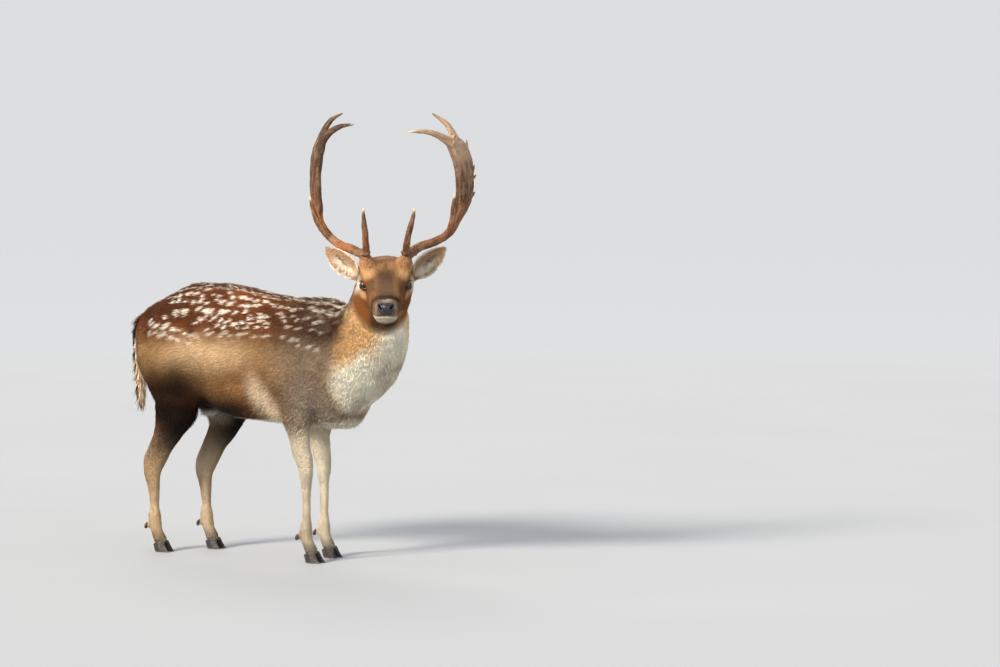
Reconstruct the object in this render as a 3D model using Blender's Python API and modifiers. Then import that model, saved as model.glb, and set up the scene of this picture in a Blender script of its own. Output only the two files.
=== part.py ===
"""A fallow buck in autumn coat, life size, standing still and looking back over its right side.

The deer faces +X, its left side is +Y, and its hooves stand on Z = 0. Every solid reaches out to
the tips of the coat. The flesh is modelled whole and then parted by thin cuts into its named
lengths. All sizes are in metres.
"""

import math

import bmesh
import bpy
import numpy as np
from mathutils import Matrix, Vector

GAP = 0.0003
CLEARANCE = 0.0005
CRUMB = 0.020

# Trunk: heights of the back and belly, and half widths, at places along the body.
TRUNK_TOP_Z = 0.922
TRUNK_AXIS_Z = 0.675
TRUNK_STATIONS = (
    # x, back, belly, half width
    (-0.446, 0.775, 0.700, 0.030),
    (-0.434, 0.812, 0.640, 0.058),
    (-0.405, 0.838, 0.575, 0.090),
    (-0.355, 0.862, 0.525, 0.122),
    (-0.295, 0.888, 0.502, 0.142),
    (-0.215, 0.920, 0.492, 0.150),
    (-0.130, TRUNK_TOP_Z, 0.492, 0.150),
    (-0.040, 0.920, 0.474, 0.158),
    (0.060, 0.903, 0.462, 0.166),
    (0.150, 0.887, 0.456, 0.164),
    (0.240, 0.882, 0.452, 0.152),
    (0.320, 0.882, 0.446, 0.138),
    (0.390, 0.874, 0.446, 0.122),
    (0.450, 0.840, 0.462, 0.102),
    (0.500, 0.770, 0.530, 0.070),
    (0.520, 0.700, 0.600, 0.030),
)

# Neck: a thick autumn neck that rises from the shoulders and turns to the right.
NECK_STATIONS = (
    # x, y, z, half depth, half width
    (0.290, 0.000, 0.660, 0.190, 0.130),
    (0.380, 0.000, 0.670, 0.184, 0.130),
    (0.458, 0.000, 0.702, 0.170, 0.126),
    (0.516, -0.012, 0.762, 0.146, 0.119),
    (0.556, -0.036, 0.828, 0.120, 0.106),
    (0.576, -0.062, 0.885, 0.098, 0.092),
    (0.590, -0.080, 0.925, 0.078, 0.078),
)

# Head: its own frame starts midway between the eyes, with +X along the muzzle.
HEAD_PLACE = (0.640, -0.110, 0.930)
HEAD_YAW = math.radians(-56)
HEAD_PITCH = math.radians(25)
HEAD_STATIONS = (
    # x, top, bottom, half width
    (-0.138, 0.028, -0.050, 0.044),
    (-0.120, 0.048, -0.078, 0.066),
    (-0.090, 0.061, -0.098, 0.082),
    (-0.055, 0.065, -0.106, 0.093),
    (-0.030, 0.063, -0.106, 0.094),
    (-0.010, 0.058, -0.104, 0.085),
    (0.014, 0.051, -0.099, 0.074),
    (0.050, 0.042, -0.090, 0.063),
    (0.085, 0.034, -0.078, 0.053),
    (0.115, 0.030, -0.070, 0.0475),
    (0.142, 0.028, -0.066, 0.046),
    (0.162, 0.025, -0.062, 0.043),
    (0.174, 0.018, -0.052, 0.035),
    (0.180, 0.006, -0.034, 0.018),
)
EYE_PLACE = (-0.002, 0.0690, 0.001)
EYE_RADIUS = 0.0165
NOSE_PAD_SIZE = (0.018, 0.0275, 0.0225)
NOSE_PAD_PLACE = (0.169, 0.0, 0.0015)
BROW_PLACE = (-0.004, 0.064, 0.024)
BROW_SIZE = (0.026, 0.018, 0.012)
CHEEK_PLACE = (-0.030, 0.054, -0.050)
CHEEK_SIZE = (0.060, 0.032, 0.052)

# Ears: spear-shaped cups that point outward and a little up, open to the front.
EAR_LENGTH = 0.162
EAR_HALF_WIDTH = 0.042
EAR_CUP = 0.020
EAR_THICKNESS = 0.0050
EAR_ROOT = (-0.051, 0.077, 0.000)
EAR_OUTWARD = (-0.553, 0.728, 0.402)
EAR_FRONT = (0.880, 0.250, 0.350)

# Legs: each row is x, y, z, half depth and half width, from the body down to the pastern.
FORE_RIGHT = (
    (0.300, -0.092, 0.640, 0.085, 0.050),
    (0.288, -0.100, 0.560, 0.074, 0.048),
    (0.277, -0.096, 0.500, 0.060, 0.043),
    (0.276, -0.088, 0.440, 0.044, 0.034),
    (0.281, -0.083, 0.380, 0.040, 0.029),
    (0.291, -0.080, 0.340, 0.037, 0.028),
    (0.297, -0.079, 0.310, 0.031, 0.026),
    (0.298, -0.078, 0.270, 0.023, 0.021),
    (0.299, -0.078, 0.210, 0.0195, 0.018),
    (0.299, -0.078, 0.140, 0.0190, 0.0175),
    (0.297, -0.078, 0.098, 0.0245, 0.021),
    (0.305, -0.078, 0.066, 0.0205, 0.020),
    (0.320, -0.078, 0.036, 0.0215, 0.0235),
    (0.327, -0.078, 0.022, 0.0190, 0.0200),
)
FORE_LEFT_SHIFT = (-0.037, 0.0)
HIND_RIGHT = (
    (-0.255, -0.080, 0.760, 0.130, 0.070),
    (-0.240, -0.092, 0.680, 0.140, 0.070),
    (-0.228, -0.100, 0.600, 0.126, 0.064),
    (-0.222, -0.102, 0.530, 0.102, 0.054),
    (-0.237, -0.098, 0.475, 0.082, 0.044),
    (-0.260, -0.093, 0.425, 0.062, 0.036),
    (-0.288, -0.089, 0.380, 0.050, 0.031),
    (-0.315, -0.087, 0.335, 0.047, 0.028),
    (-0.334, -0.086, 0.300, 0.046, 0.027),
    (-0.338, -0.085, 0.262, 0.034, 0.024),
    (-0.334, -0.085, 0.210, 0.0250, 0.0205),
    (-0.331, -0.085, 0.150, 0.0215, 0.0185),
    (-0.330, -0.085, 0.102, 0.0250, 0.0210),
    (-0.320, -0.085, 0.068, 0.0205, 0.0200),
    (-0.304, -0.085, 0.037, 0.0215, 0.0235),
    (-0.297, -0.085, 0.023, 0.0190, 0.0200),
)
HIND_LEFT_SHIFT = (0.094, -0.010)

# Hooves: two claws to a foot, with a flat sole.
HOOF_HEIGHT = 0.043
HOOF_HALF_LENGTH = 0.031
HOOF_HALF_WIDTH = 0.0118
HOOF_SPREAD = 0.0128
HOOF_TOE_SLOPE = 0.016
HOOF_HEEL_DROP = 0.0085
HOOF_CLEARANCE = 0.0008
DEWCLAW_SIZE = (0.0075, 0.0080, 0.0135)

# Tail: a hanging tail, black above and pale below, that ends in a brush of long hair.
TAIL_STATIONS = (
    (-0.405, 0.000, 0.812, 0.026, 0.026),
    (-0.446, 0.000, 0.798, 0.028, 0.032),
    (-0.466, 0.000, 0.762, 0.026, 0.036),
    (-0.466, 0.000, 0.705, 0.023, 0.038),
    (-0.459, 0.000, 0.645, 0.020, 0.034),
    (-0.454, 0.000, 0.585, 0.016, 0.027),
    (-0.453, 0.000, 0.532, 0.010, 0.016),
    (-0.452, 0.000, 0.500, 0.004, 0.005),
)

# Muscle and coat masses: centre, radii and tilt about Y in degrees, mirrored to both sides.
MASSES = (
    ((-0.245, 0.080, 0.680), (0.132, 0.076, 0.185), -10),
    ((-0.130, 0.100, 0.640), (0.110, 0.052, 0.120), 20),
    ((0.295, 0.098, 0.655), (0.095, 0.052, 0.150), 10),
    ((0.060, 0.060, 0.620), (0.240, 0.112, 0.150), 0),
    ((0.385, 0.050, 0.600), (0.110, 0.070, 0.130), 0),
)
SHEATH = ((-0.140, 0.0, 0.492), (0.055, 0.016, 0.022), -18)

# Remeshing: the joined flesh is made one skin of this cell, softened, then thinned.
CELL = 0.0065
SOFTENING = 24
LEG_SOFTNESS = 0.18
FACE_SOFTNESS = 0.26
FLESH_TRIANGLES = 2700

COLOURS = {
    "coat_chestnut": ((0.300, 0.130, 0.055, 1), 0.85),
    "coat_face": ((0.330, 0.170, 0.080, 1), 0.85),
    "coat_leg": ((0.330, 0.260, 0.190, 1), 0.85),
    "coat_tail": ((0.040, 0.032, 0.030, 1), 0.85),
    "coat_ear": ((0.520, 0.430, 0.380, 1), 0.80),
    "nose_leather": ((0.030, 0.026, 0.032, 1), 0.35),
    "eye_wet": ((0.012, 0.009, 0.008, 1), 0.05),
    "antler_bone": ((0.230, 0.150, 0.095, 1), 0.60),
    "hoof_horn": ((0.030, 0.026, 0.024, 1), 0.45),
}


def clear_scene():
    """Removes every object, so the file holds the deer alone."""
    for item in list(bpy.data.objects):
        bpy.data.objects.remove(item, do_unlink=True)


def new_collection(name, hidden=False):
    """A collection of the scene for solids, or for guides that are left out."""
    group = bpy.data.collections.new(name)
    bpy.context.scene.collection.children.link(group)
    group.hide_render = hidden
    return group


def new_object(name, mesh, group):
    """Links a mesh to the scene as an object."""
    item = bpy.data.objects.new(name, mesh)
    group.objects.link(item)
    return item


def material(name):
    """The Principled material of this name."""
    found = bpy.data.materials.get(name)
    if found:
        return found
    colour, roughness = COLOURS[name]
    made = bpy.data.materials.new(name)
    made.use_nodes = True
    shader = made.node_tree.nodes["Principled BSDF"]
    shader.inputs["Base Color"].default_value = colour
    shader.inputs["Roughness"].default_value = roughness
    made.diffuse_color = colour
    return made


def dress(item, name):
    """Gives an object its one material and smooth shading."""
    item.data.materials.clear()
    item.data.materials.append(material(name))
    item.data.shade_smooth()
    item.data.set_sharp_from_angle(angle=math.radians(50))


def spline(rows, count):
    """Rows read evenly from a smooth curve through the given rows."""
    rows = np.array(rows, float)
    padded = np.vstack([2 * rows[0] - rows[1], rows, 2 * rows[-1] - rows[-2]])
    places = np.linspace(0, len(rows) - 1, count)
    start = np.minimum(places.astype(int), len(rows) - 2)
    t = (places - start)[:, None]
    p0, p1, p2, p3 = (padded[start + k] for k in range(4))
    bend = 2 * p0 - 5 * p1 + 4 * p2 - p3
    turn = 3 * p1 - p0 - 3 * p2 + p3
    return 0.5 * (2 * p1 + (p2 - p0) * t + bend * t**2 + turn * t**3)


def loft(name, rings, group):
    """One closed mesh through rings that all have the same number of points."""
    shape = bmesh.new()
    rows = [[shape.verts.new(point) for point in ring] for ring in rings]
    sides = len(rows[0])
    for here, there in zip(rows, rows[1:]):
        for k in range(sides):
            after = (k + 1) % sides
            shape.faces.new((here[k], here[after], there[after], there[k]))
    shape.faces.new(reversed(rows[0]))
    shape.faces.new(rows[-1])
    bmesh.ops.recalc_face_normals(shape, faces=shape.faces)
    mesh = bpy.data.meshes.new(name)
    shape.to_mesh(mesh)
    shape.free()
    return new_object(name, mesh, group)


def oval(width, top, bottom, power, sides):
    """Points (across, up) round a section with its own height above and below the axis."""
    angles = np.arange(sides) * 2 * math.pi / sides
    c, s = np.cos(angles), np.sin(angles)
    across = width * np.sign(c) * np.abs(c) ** (2 / power)
    up = np.where(s > 0, top, bottom) * np.sign(s) * np.abs(s) ** (2 / power)
    return np.stack([across, up], 1)


def body_loft(name, stations, axis_z, power, count, sides, group):
    """A loft along +X whose sections stand upright, from rows of x, top, bottom, half width."""
    rings = []
    for x, top, bottom, width in spline(stations, count):
        flat = oval(width, top - axis_z, axis_z - bottom, power, sides)
        rings.append([(x, across, axis_z + up) for across, up in flat])
    return loft(name, rings, group)


def limb(name, stations, across, group, count=28, sides=14, grow=0.0, power=2.0):
    """A round limb along rows of x, y, z, half depth, half width.

    Its wide direction at the far end is across, and it turns with the limb from there.
    """
    rows = spline(stations, count)
    centres = rows[:, :3]
    along = np.gradient(centres, axis=0)
    along /= np.linalg.norm(along, axis=1)[:, None]
    wide = np.empty_like(along)
    direction = np.array(across, float)
    for k in reversed(range(count)):
        direction = direction - direction.dot(along[k]) * along[k]
        direction /= np.linalg.norm(direction)
        wide[k] = direction
    deep = np.cross(wide, along)
    rings = []
    for k, row in enumerate(rows):
        half_deep, half_wide = max(row[3], 0.001) + grow, max(row[4], 0.001) + grow
        flat = oval(half_wide, half_deep, half_deep, power, sides)
        rings.append([centres[k] + a * wide[k] + b * deep[k] for a, b in flat])
    if grow:
        rings[-1] = [point + along[-1] * grow for point in rings[-1]]
    return loft(name, rings, group)


def ellipsoid(name, place, radii, tilt, group, segments=20):
    """A ball stretched to three radii, tilted about Y by degrees."""
    shape = bmesh.new()
    bmesh.ops.create_uvsphere(shape, u_segments=segments, v_segments=segments * 2 // 3, radius=1)
    turn = Matrix.Rotation(math.radians(tilt), 4, "Y") @ Matrix.Diagonal((*radii, 1))
    bmesh.ops.transform(shape, matrix=Matrix.Translation(place) @ turn, verts=shape.verts)
    mesh = bpy.data.meshes.new(name)
    shape.to_mesh(mesh)
    shape.free()
    return new_object(name, mesh, group)


def head_frame():
    """The matrix from the head's own frame to the world."""
    turn = Matrix.Rotation(HEAD_YAW, 4, "Z") @ Matrix.Rotation(HEAD_PITCH, 4, "Y")
    return Matrix.Translation(HEAD_PLACE) @ turn


def mirrored(place, side):
    """A place on the left side, or its mirror image for side -1."""
    return (place[0], place[1] * side, place[2])


def evaluated_mesh(item):
    """A copy of the object's mesh as its modifiers leave it."""
    graph = bpy.context.evaluated_depsgraph_get()
    graph.update()
    return bpy.data.meshes.new_from_object(item.evaluated_get(graph))


def settle(item):
    """Makes the object's modifiers part of its mesh."""
    mesh = evaluated_mesh(item)
    item.modifiers.clear()
    item.data = mesh


def cut(item, cutter, keep_cutter=False, operation="DIFFERENCE", solver="MANIFOLD"):
    """Cuts a cutter out of an object, or joins the two.

    The flesh is one dense closed mesh, where the exact solver drops thin lengths of leg.
    """
    step = item.modifiers.new("cut", "BOOLEAN")
    step.operation = operation
    step.object = cutter
    step.solver = solver
    settle(item)
    if not keep_cutter:
        bpy.data.objects.remove(cutter, do_unlink=True)


def joined(name, items, group):
    """One object that holds the meshes of several."""
    shape = bmesh.new()
    for item in items:
        mesh = item.data.copy()
        mesh.transform(item.matrix_world)
        shape.from_mesh(mesh)
        bpy.data.meshes.remove(mesh)
        bpy.data.objects.remove(item, do_unlink=True)
    mesh = bpy.data.meshes.new(name)
    shape.to_mesh(mesh)
    shape.free()
    return new_object(name, mesh, group)


def leg_rows(rows, side, shift):
    """A leg's rows for one side, its lower part shifted along X and its main joint along Z."""
    made = []
    for x, y, z, deep, wide in rows:
        low = min(1.0, max(0.0, (0.66 - z) / 0.22))
        lift = shift[1] * math.exp(-(((z - 0.27) / 0.09) ** 2))
        made.append((x + shift[0] * low, abs(y) * side, z + lift, deep, wide))
    return made


LEGS = {
    "fore_right": (FORE_RIGHT, -1, (0.0, 0.0)),
    "fore_left": (FORE_RIGHT, 1, FORE_LEFT_SHIFT),
    "hind_right": (HIND_RIGHT, -1, (0.0, 0.0)),
    "hind_left": (HIND_RIGHT, 1, HIND_LEFT_SHIFT),
}


def head_shells(group):
    """The skull, cheeks and brows, in the world frame."""
    skull = body_loft("skull", HEAD_STATIONS, 0.0, 2.55, 40, 28, group)
    parts = [skull]
    for side in (1, -1):
        parts.append(ellipsoid("brow", mirrored(BROW_PLACE, side), BROW_SIZE, 0, group))
        parts.append(ellipsoid("cheek", mirrored(CHEEK_PLACE, side), CHEEK_SIZE, 10, group))
    for part in parts:
        part.data.transform(head_frame())
    return parts


def flesh(group):
    """The whole body as one soft mesh, before it is parted."""
    shells = [body_loft("trunk", TRUNK_STATIONS, TRUNK_AXIS_Z, 2.15, 48, 32, group)]
    shells.append(limb("neck", NECK_STATIONS, (0.25, 1, 0), group, 36, 28, power=2.1))
    shells += head_shells(group)
    for name, (rows, side, shift) in LEGS.items():
        shells.append(limb(name, leg_rows(rows, side, shift), (0, 1, 0), group, 60, 18))
    for place, radii, tilt in MASSES:
        for side in (1, -1):
            shells.append(ellipsoid("mass", mirrored(place, side), radii, tilt, group, 24))
    shells.append(ellipsoid("sheath", *SHEATH, group))
    body = joined("flesh", shells, group)
    remesh = body.modifiers.new("one skin", "REMESH")
    remesh.mode = "VOXEL"
    remesh.voxel_size = CELL
    settle(body)
    soften(body)
    thin(body)
    return body


def softness(place):
    """How far a point of the flesh is smoothed: the trunk most, the legs and face least."""
    x, y, z = place
    leg = min(1.0, max(LEG_SOFTNESS, (z - 0.40) / 0.14))
    head = (Vector(place) - Vector(HEAD_PLACE)).length
    face = min(1.0, max(FACE_SOFTNESS, (head - 0.13) / 0.10))
    return min(leg, face)


def soften(body):
    """Blends the masses into each other."""
    group = body.vertex_groups.new(name="softness")
    for vertex in body.data.vertices:
        group.add([vertex.index], softness(vertex.co), "REPLACE")
    smooth = body.modifiers.new("soften", "SMOOTH")
    smooth.factor = 0.5
    smooth.iterations = SOFTENING
    smooth.vertex_group = "softness"
    settle(body)


def thin(body):
    """Thins the mesh to its share of triangles."""
    triangles = sum(len(face.vertices) - 2 for face in body.data.polygons)
    fewer = body.modifiers.new("thin", "DECIMATE")
    fewer.ratio = FLESH_TRIANGLES / triangles
    fewer.use_collapse_triangulate = True
    settle(body)


def grown_copy(item, name, group, amount):
    """A copy of a mesh pushed outward, as a cutter that leaves a gap."""
    copy = new_object(name, item.data.copy(), group)
    swell = copy.modifiers.new("swell", "DISPLACE")
    swell.strength = amount
    swell.mid_level = 0.0
    settle(copy)
    return copy


def slab(place, size, turns, group):
    """A thin box that parts the flesh; turns are degrees about X, Y and Z."""
    shape = bmesh.new()
    bmesh.ops.create_cube(shape, size=1)
    turn = Matrix.Identity(4)
    for angle, axis in zip(reversed(turns), "ZYX"):
        turn = turn @ Matrix.Rotation(math.radians(angle), 4, axis)
    scale = Matrix.Diagonal((*size, 1))
    bmesh.ops.transform(shape, matrix=Matrix.Translation(place) @ turn @ scale, verts=shape.verts)
    mesh = bpy.data.meshes.new("slab")
    shape.to_mesh(mesh)
    shape.free()
    return new_object("slab", mesh, group)


def ear_rings(side, grow=0.0):
    """Sections of one ear in the head's frame: a cup that narrows to a point."""
    rings = []
    count = 8
    for k in range(count + 1):
        t = k / count
        width = EAR_HALF_WIDTH * (0.38 + 2.10 * t - 2.48 * t**2.2)
        width = max(width, 0.002) + grow
        half = EAR_THICKNESS / 2 + grow
        fold = EAR_CUP * (1 - 0.75 * t)
        ring = []
        steps = 5
        for face in (1, -1):
            for j in range(steps):
                s = (2 * j / (steps - 1) - 1) * face
                edge = half * face * math.sqrt(max(0.0, 1.0 - s**6))
                hollow = fold * (s**2 - 0.5)
                ring.append((t * EAR_LENGTH, s * width, hollow + edge))
        rings.append([ring[j] for j in range(len(ring)) if j not in (steps - 1, 2 * steps - 1)])
    return rings


def ear_frame(side):
    """From an ear's own frame, with +X along it and +Z out of its cup, to the world."""
    outward = Vector(mirrored(EAR_OUTWARD, side)).normalized()
    front = Vector(mirrored(EAR_FRONT, side))
    cup = (front - front.dot(outward) * outward).normalized()
    wide = cup.cross(outward)
    turn = Matrix((outward, wide, cup)).transposed().to_4x4()
    return head_frame() @ Matrix.Translation(mirrored(EAR_ROOT, side)) @ turn


def ear(side, group):
    """One ear, as a thin cupped leaf."""
    item = loft("ear_" + ("left" if side > 0 else "right"), ear_rings(side), group)
    item.data.transform(ear_frame(side))
    tidy_normals(item)
    return item


def tidy_normals(item):
    """Points a closed mesh's faces outward."""
    shape = bmesh.new()
    shape.from_mesh(item.data)
    bmesh.ops.recalc_face_normals(shape, faces=shape.faces)
    shape.to_mesh(item.data)
    shape.free()


# Antlers, in a frame at the crown: +X to the front of the face, +Y outward, +Z up.
# Rows are x, y, z, half depth and half width. The two antlers differ a little, as in life.
CROWN = (-0.035, 0.0, 0.082)
BEAM_ROOT = (
    (0.000, 0.060, -0.024, 0.0165, 0.0165),
    (-0.008, 0.068, 0.002, 0.0185, 0.0185),
)
ANTLERS = {
    "left": {
        "splay": 34,
        "beam": BEAM_ROOT
        + (
            (-0.022, 0.082, 0.018, 0.0160, 0.0160),
            (-0.055, 0.112, 0.036, 0.0145, 0.0145),
            (-0.090, 0.150, 0.047, 0.0140, 0.0140),
            (-0.118, 0.190, 0.064, 0.0145, 0.0140),
            (-0.138, 0.220, 0.094, 0.0160, 0.0140),
            (-0.148, 0.236, 0.130, 0.0220, 0.0125),
            (-0.154, 0.250, 0.178, 0.0320, 0.0110),
            (-0.152, 0.257, 0.240, 0.0400, 0.0105),
            (-0.138, 0.252, 0.300, 0.0430, 0.0105),
            (-0.112, 0.236, 0.350, 0.0390, 0.0105),
            (-0.088, 0.212, 0.386, 0.0280, 0.0100),
        ),
        "brow_tine": (
            (-0.004, 0.066, 0.010, 0.0125, 0.0125),
            (0.026, 0.066, 0.034, 0.0118, 0.0118),
            (0.056, 0.074, 0.078, 0.0105, 0.0105),
            (0.068, 0.086, 0.124, 0.0080, 0.0080),
            (0.066, 0.093, 0.164, 0.0030, 0.0030),
        ),
        "trez_tine": (
            (-0.128, 0.208, 0.080, 0.0115, 0.0115),
            (-0.100, 0.218, 0.112, 0.0108, 0.0108),
            (-0.084, 0.222, 0.155, 0.0090, 0.0090),
            (-0.076, 0.225, 0.207, 0.0030, 0.0030),
        ),
        "front_tine": (
            (-0.080, 0.218, 0.372, 0.0180, 0.0100),
            (-0.050, 0.176, 0.398, 0.0125, 0.0095),
            (-0.016, 0.126, 0.412, 0.0085, 0.0080),
            (0.010, 0.072, 0.410, 0.0025, 0.0025),
        ),
        "top_tine": (
            (-0.112, 0.224, 0.376, 0.0200, 0.0100),
            (-0.122, 0.216, 0.414, 0.0135, 0.0095),
            (-0.120, 0.194, 0.444, 0.0090, 0.0080),
            (-0.106, 0.152, 0.472, 0.0025, 0.0025),
        ),
        "spellers": ((0.00, 0.012), (0.10, 0.010), (0.44, 0.034), (0.60, 0.022), (0.82, 0.030)),
    },
    "right": {
        "splay": 10,
        "beam": BEAM_ROOT
        + (
            (-0.022, 0.084, 0.016, 0.0160, 0.0160),
            (-0.055, 0.116, 0.030, 0.0150, 0.0150),
            (-0.088, 0.150, 0.042, 0.0145, 0.0145),
            (-0.114, 0.182, 0.066, 0.0145, 0.0140),
            (-0.132, 0.208, 0.098, 0.0160, 0.0140),
            (-0.144, 0.224, 0.136, 0.0220, 0.0125),
            (-0.150, 0.231, 0.184, 0.0300, 0.0115),
            (-0.148, 0.236, 0.244, 0.0360, 0.0115),
            (-0.136, 0.232, 0.304, 0.0380, 0.0115),
            (-0.114, 0.222, 0.354, 0.0350, 0.0115),
            (-0.094, 0.206, 0.392, 0.0260, 0.0105),
        ),
        "brow_tine": (
            (-0.004, 0.066, 0.010, 0.0125, 0.0125),
            (0.028, 0.064, 0.034, 0.0118, 0.0118),
            (0.058, 0.066, 0.078, 0.0105, 0.0105),
            (0.070, 0.070, 0.124, 0.0080, 0.0080),
            (0.066, 0.072, 0.164, 0.0030, 0.0030),
        ),
        "trez_tine": (
            (-0.112, 0.178, 0.062, 0.0115, 0.0115),
            (-0.088, 0.212, 0.096, 0.0108, 0.0108),
            (-0.078, 0.234, 0.144, 0.0090, 0.0090),
            (-0.074, 0.248, 0.202, 0.0030, 0.0030),
        ),
        "front_tine": (
            (-0.088, 0.208, 0.384, 0.0170, 0.0100),
            (-0.056, 0.178, 0.412, 0.0120, 0.0095),
            (-0.026, 0.142, 0.430, 0.0085, 0.0080),
            (-0.006, 0.102, 0.434, 0.0025, 0.0025),
        ),
        "top_tine": (
            (-0.122, 0.212, 0.384, 0.0190, 0.0100),
            (-0.130, 0.198, 0.420, 0.0125, 0.0095),
            (-0.128, 0.178, 0.450, 0.0085, 0.0080),
            (-0.116, 0.140, 0.472, 0.0025, 0.0025),
        ),
        "spellers": ((0.30, 0.014), (0.58, 0.018), (0.94, 0.052)),
    },
}
PALM_FIRST_ROW = 6
PALM_START_Z = 0.112
TINES = ("brow_tine", "trez_tine", "front_tine", "top_tine")


def antler_frame(side):
    """From an antler's own frame to the world; the right antler is a mirror image."""
    upright = Matrix.Translation(head_frame() @ Vector(CROWN)) @ Matrix.Rotation(HEAD_YAW, 4, "Z")
    return upright @ Matrix.Diagonal((1, side, 1, 1))


def antler_limb(name, rows, across, side, group, grow=0.0, count=9, sides=8):
    """One length of antler in the world frame."""
    item = limb(name, rows, across, group, count, sides, grow)
    item.data.transform(antler_frame(side))
    tidy_normals(item)
    return item


def speller(palm, place, length, side, splay, group):
    """A short point on the rear edge of the palm."""
    rows = spline(palm, 21)
    at = min(int(place * 20), 19)
    row = rows[at]
    rise = rows[at + 1][:3] - row[:3]
    rise /= np.linalg.norm(rise)
    back = np.array([-math.cos(splay), math.sin(splay), 0.0])
    back -= back.dot(rise) * rise
    start = row[:3] + back * (row[3] - 0.012)
    tip = row[:3] + back * (row[3] + length) + rise * length * 0.5
    middle = (start + tip) / 2 - rise * 0.003
    stations = [(*start, 0.0125, 0.0070), (*middle, 0.0080, 0.0055), (*tip, 0.0018, 0.0018)]
    return antler_limb("speller", stations, np.cross(rise, back), side, group, count=4, sides=5)


def antler_length(side, part, group, grow=0.0):
    """One named length of an antler, grown by a margin."""
    word = "left" if side > 0 else "right"
    splay = math.radians(ANTLERS[word]["splay"])
    thickness = (math.sin(splay), math.cos(splay), 0.0)
    count, sides = (20, 8) if part == "beam" else (7, 7)
    name = f"antler_{word}_{part}"
    return antler_limb(name, ANTLERS[word][part], thickness, side, group, grow, count, sides)


def antler(side, group, cutters, skull):
    """All lengths of one antler, split at its main forks."""
    word = "left" if side > 0 else "right"
    rows = ANTLERS[word]
    splay = math.radians(rows["splay"])
    whole = antler_length(side, "beam", group)
    for place, length in rows["spellers"]:
        point = speller(rows["beam"][PALM_FIRST_ROW:], place, length, side, splay, cutters)
        cut(whole, point, operation="UNION")
    tines = {part: antler_length(side, part, group) for part in TINES}
    clear_beam = grown_copy(whole, "clear_beam", cutters, CLEARANCE)
    clear_front = antler_length(side, "front_tine", cutters, CLEARANCE)
    for tine in tines.values():
        cut(tine, clear_beam, keep_cutter=True, solver="EXACT")
    cut(tines["top_tine"], clear_front, solver="EXACT")
    bpy.data.objects.remove(clear_beam, do_unlink=True)
    cut(whole, skull, keep_cutter=True)
    palm = new_object(f"antler_{word}_palm", whole.data.copy(), group)
    start = antler_frame(side) @ Vector((-0.14, 0.22, PALM_START_Z))
    reach = 0.60
    for item, way in ((palm, -1), (whole, 1)):
        middle = start + Vector((0, 0, way * (reach - GAP) / 2))
        cut(item, slab(middle, (1.0, 1.0, reach), (0, 0, 0), cutters))
    return [whole, palm, *tines.values()]


def hoof(foot, side_sign, group, name, grow=0.0):
    """One claw of a hoof: a flat sole, a sloping toe and an upright inner wall."""
    x, y = foot
    rings = []
    for k in range(4):
        t = k / 3
        height = HOOF_HEIGHT * t + (grow if k == 3 else 0.0)
        half = HOOF_HALF_LENGTH * (1 - 0.26 * t) + grow
        width = HOOF_HALF_WIDTH * (1 - 0.10 * t) + grow
        ring = []
        for j in range(8):
            angle = j * math.pi / 4
            along = math.cos(angle)
            outward = math.sin(angle)
            full = 1.0 if outward * side_sign > 0 else 0.82
            taper = 1 - 0.30 * max(0.0, along)
            lower = HOOF_HEEL_DROP * t * (1 - along)
            ring.append(
                (
                    x + half * along - HOOF_TOE_SLOPE * t,
                    y + width * outward * full * taper,
                    height - lower,
                )
            )
        rings.append(ring)
    return loft(name, rings, group)


def feet():
    """Each leg's foot: where its hooves stand and where its fetlock is."""
    found = {}
    for name, (rows, side, shift) in LEGS.items():
        placed = leg_rows(rows, side, shift)
        low, fetlock = placed[-1], placed[-4]
        found[name] = ((low[0] + 0.008, low[1]), fetlock[:3])
    return found


def hooves(group, cutters, body):
    """Eight claws and eight dewclaws, and the room for them in the legs."""
    made = []
    for leg, (place, fetlock) in feet().items():
        for part, way in (("outer", 1), ("inner", -1)):
            out = math.copysign(1, place[1]) * way
            foot = (place[0], place[1] + out * HOOF_SPREAD)
            claw = hoof(foot, out, group, f"hoof_{leg}_{part}")
            cut(body, hoof(foot, out, cutters, "room", HOOF_CLEARANCE))
            made.append(claw)
            behind = Vector((fetlock[0] - 0.027, place[1] + out * 0.012, fetlock[2] - 0.014))
            claw = ellipsoid(f"dewclaw_{leg}_{part}", behind, DEWCLAW_SIZE, 25, group, 6)
            made.append(claw)
    return made


# Cuts that part the flesh: the shell round the head, and the heights of the leg cuts.
HEAD_SHELL_PLACE = (0.048, 0.0, -0.004)
HEAD_SHELL_RADII = (0.200, 0.142, 0.142)
HEAD_SHELL_PITCH = 24
NECK_CUT_PLACE = (0.450, 0.0, 0.690)
NECK_CUT_PITCH = -15
LEG_CUTS = {"fore": (0.425, 0.272, 0.118), "hind": (0.466, 0.238, 0.118)}


def head_shell(group):
    """A thin closed shell round the head, which parts it from the neck."""
    pitch, radii = HEAD_SHELL_PITCH, HEAD_SHELL_RADII
    outer = ellipsoid("outer", HEAD_SHELL_PLACE, radii, pitch, group, 16)
    smaller = [radius - GAP for radius in radii]
    inner = ellipsoid("inner", HEAD_SHELL_PLACE, smaller, pitch, group, 16)
    inner.data.flip_normals()
    shell = joined("head_shell", [outer, inner], group)
    shell.data.transform(head_frame())
    return shell


def leg_slabs(group):
    """Three level cuts through each leg: above the joint, below it and at the fetlock."""
    slabs = []
    for name, (rows, side, shift) in LEGS.items():
        placed = leg_rows(rows, side, shift)
        for height in LEG_CUTS[name[:4]]:
            row = min(placed, key=lambda item: abs(item[2] - height))
            size = (row[3] * 4, row[4] * 4, GAP)
            slabs.append(slab((row[0], row[1], height), size, (0, 0, 0), group))
    return slabs


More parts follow.
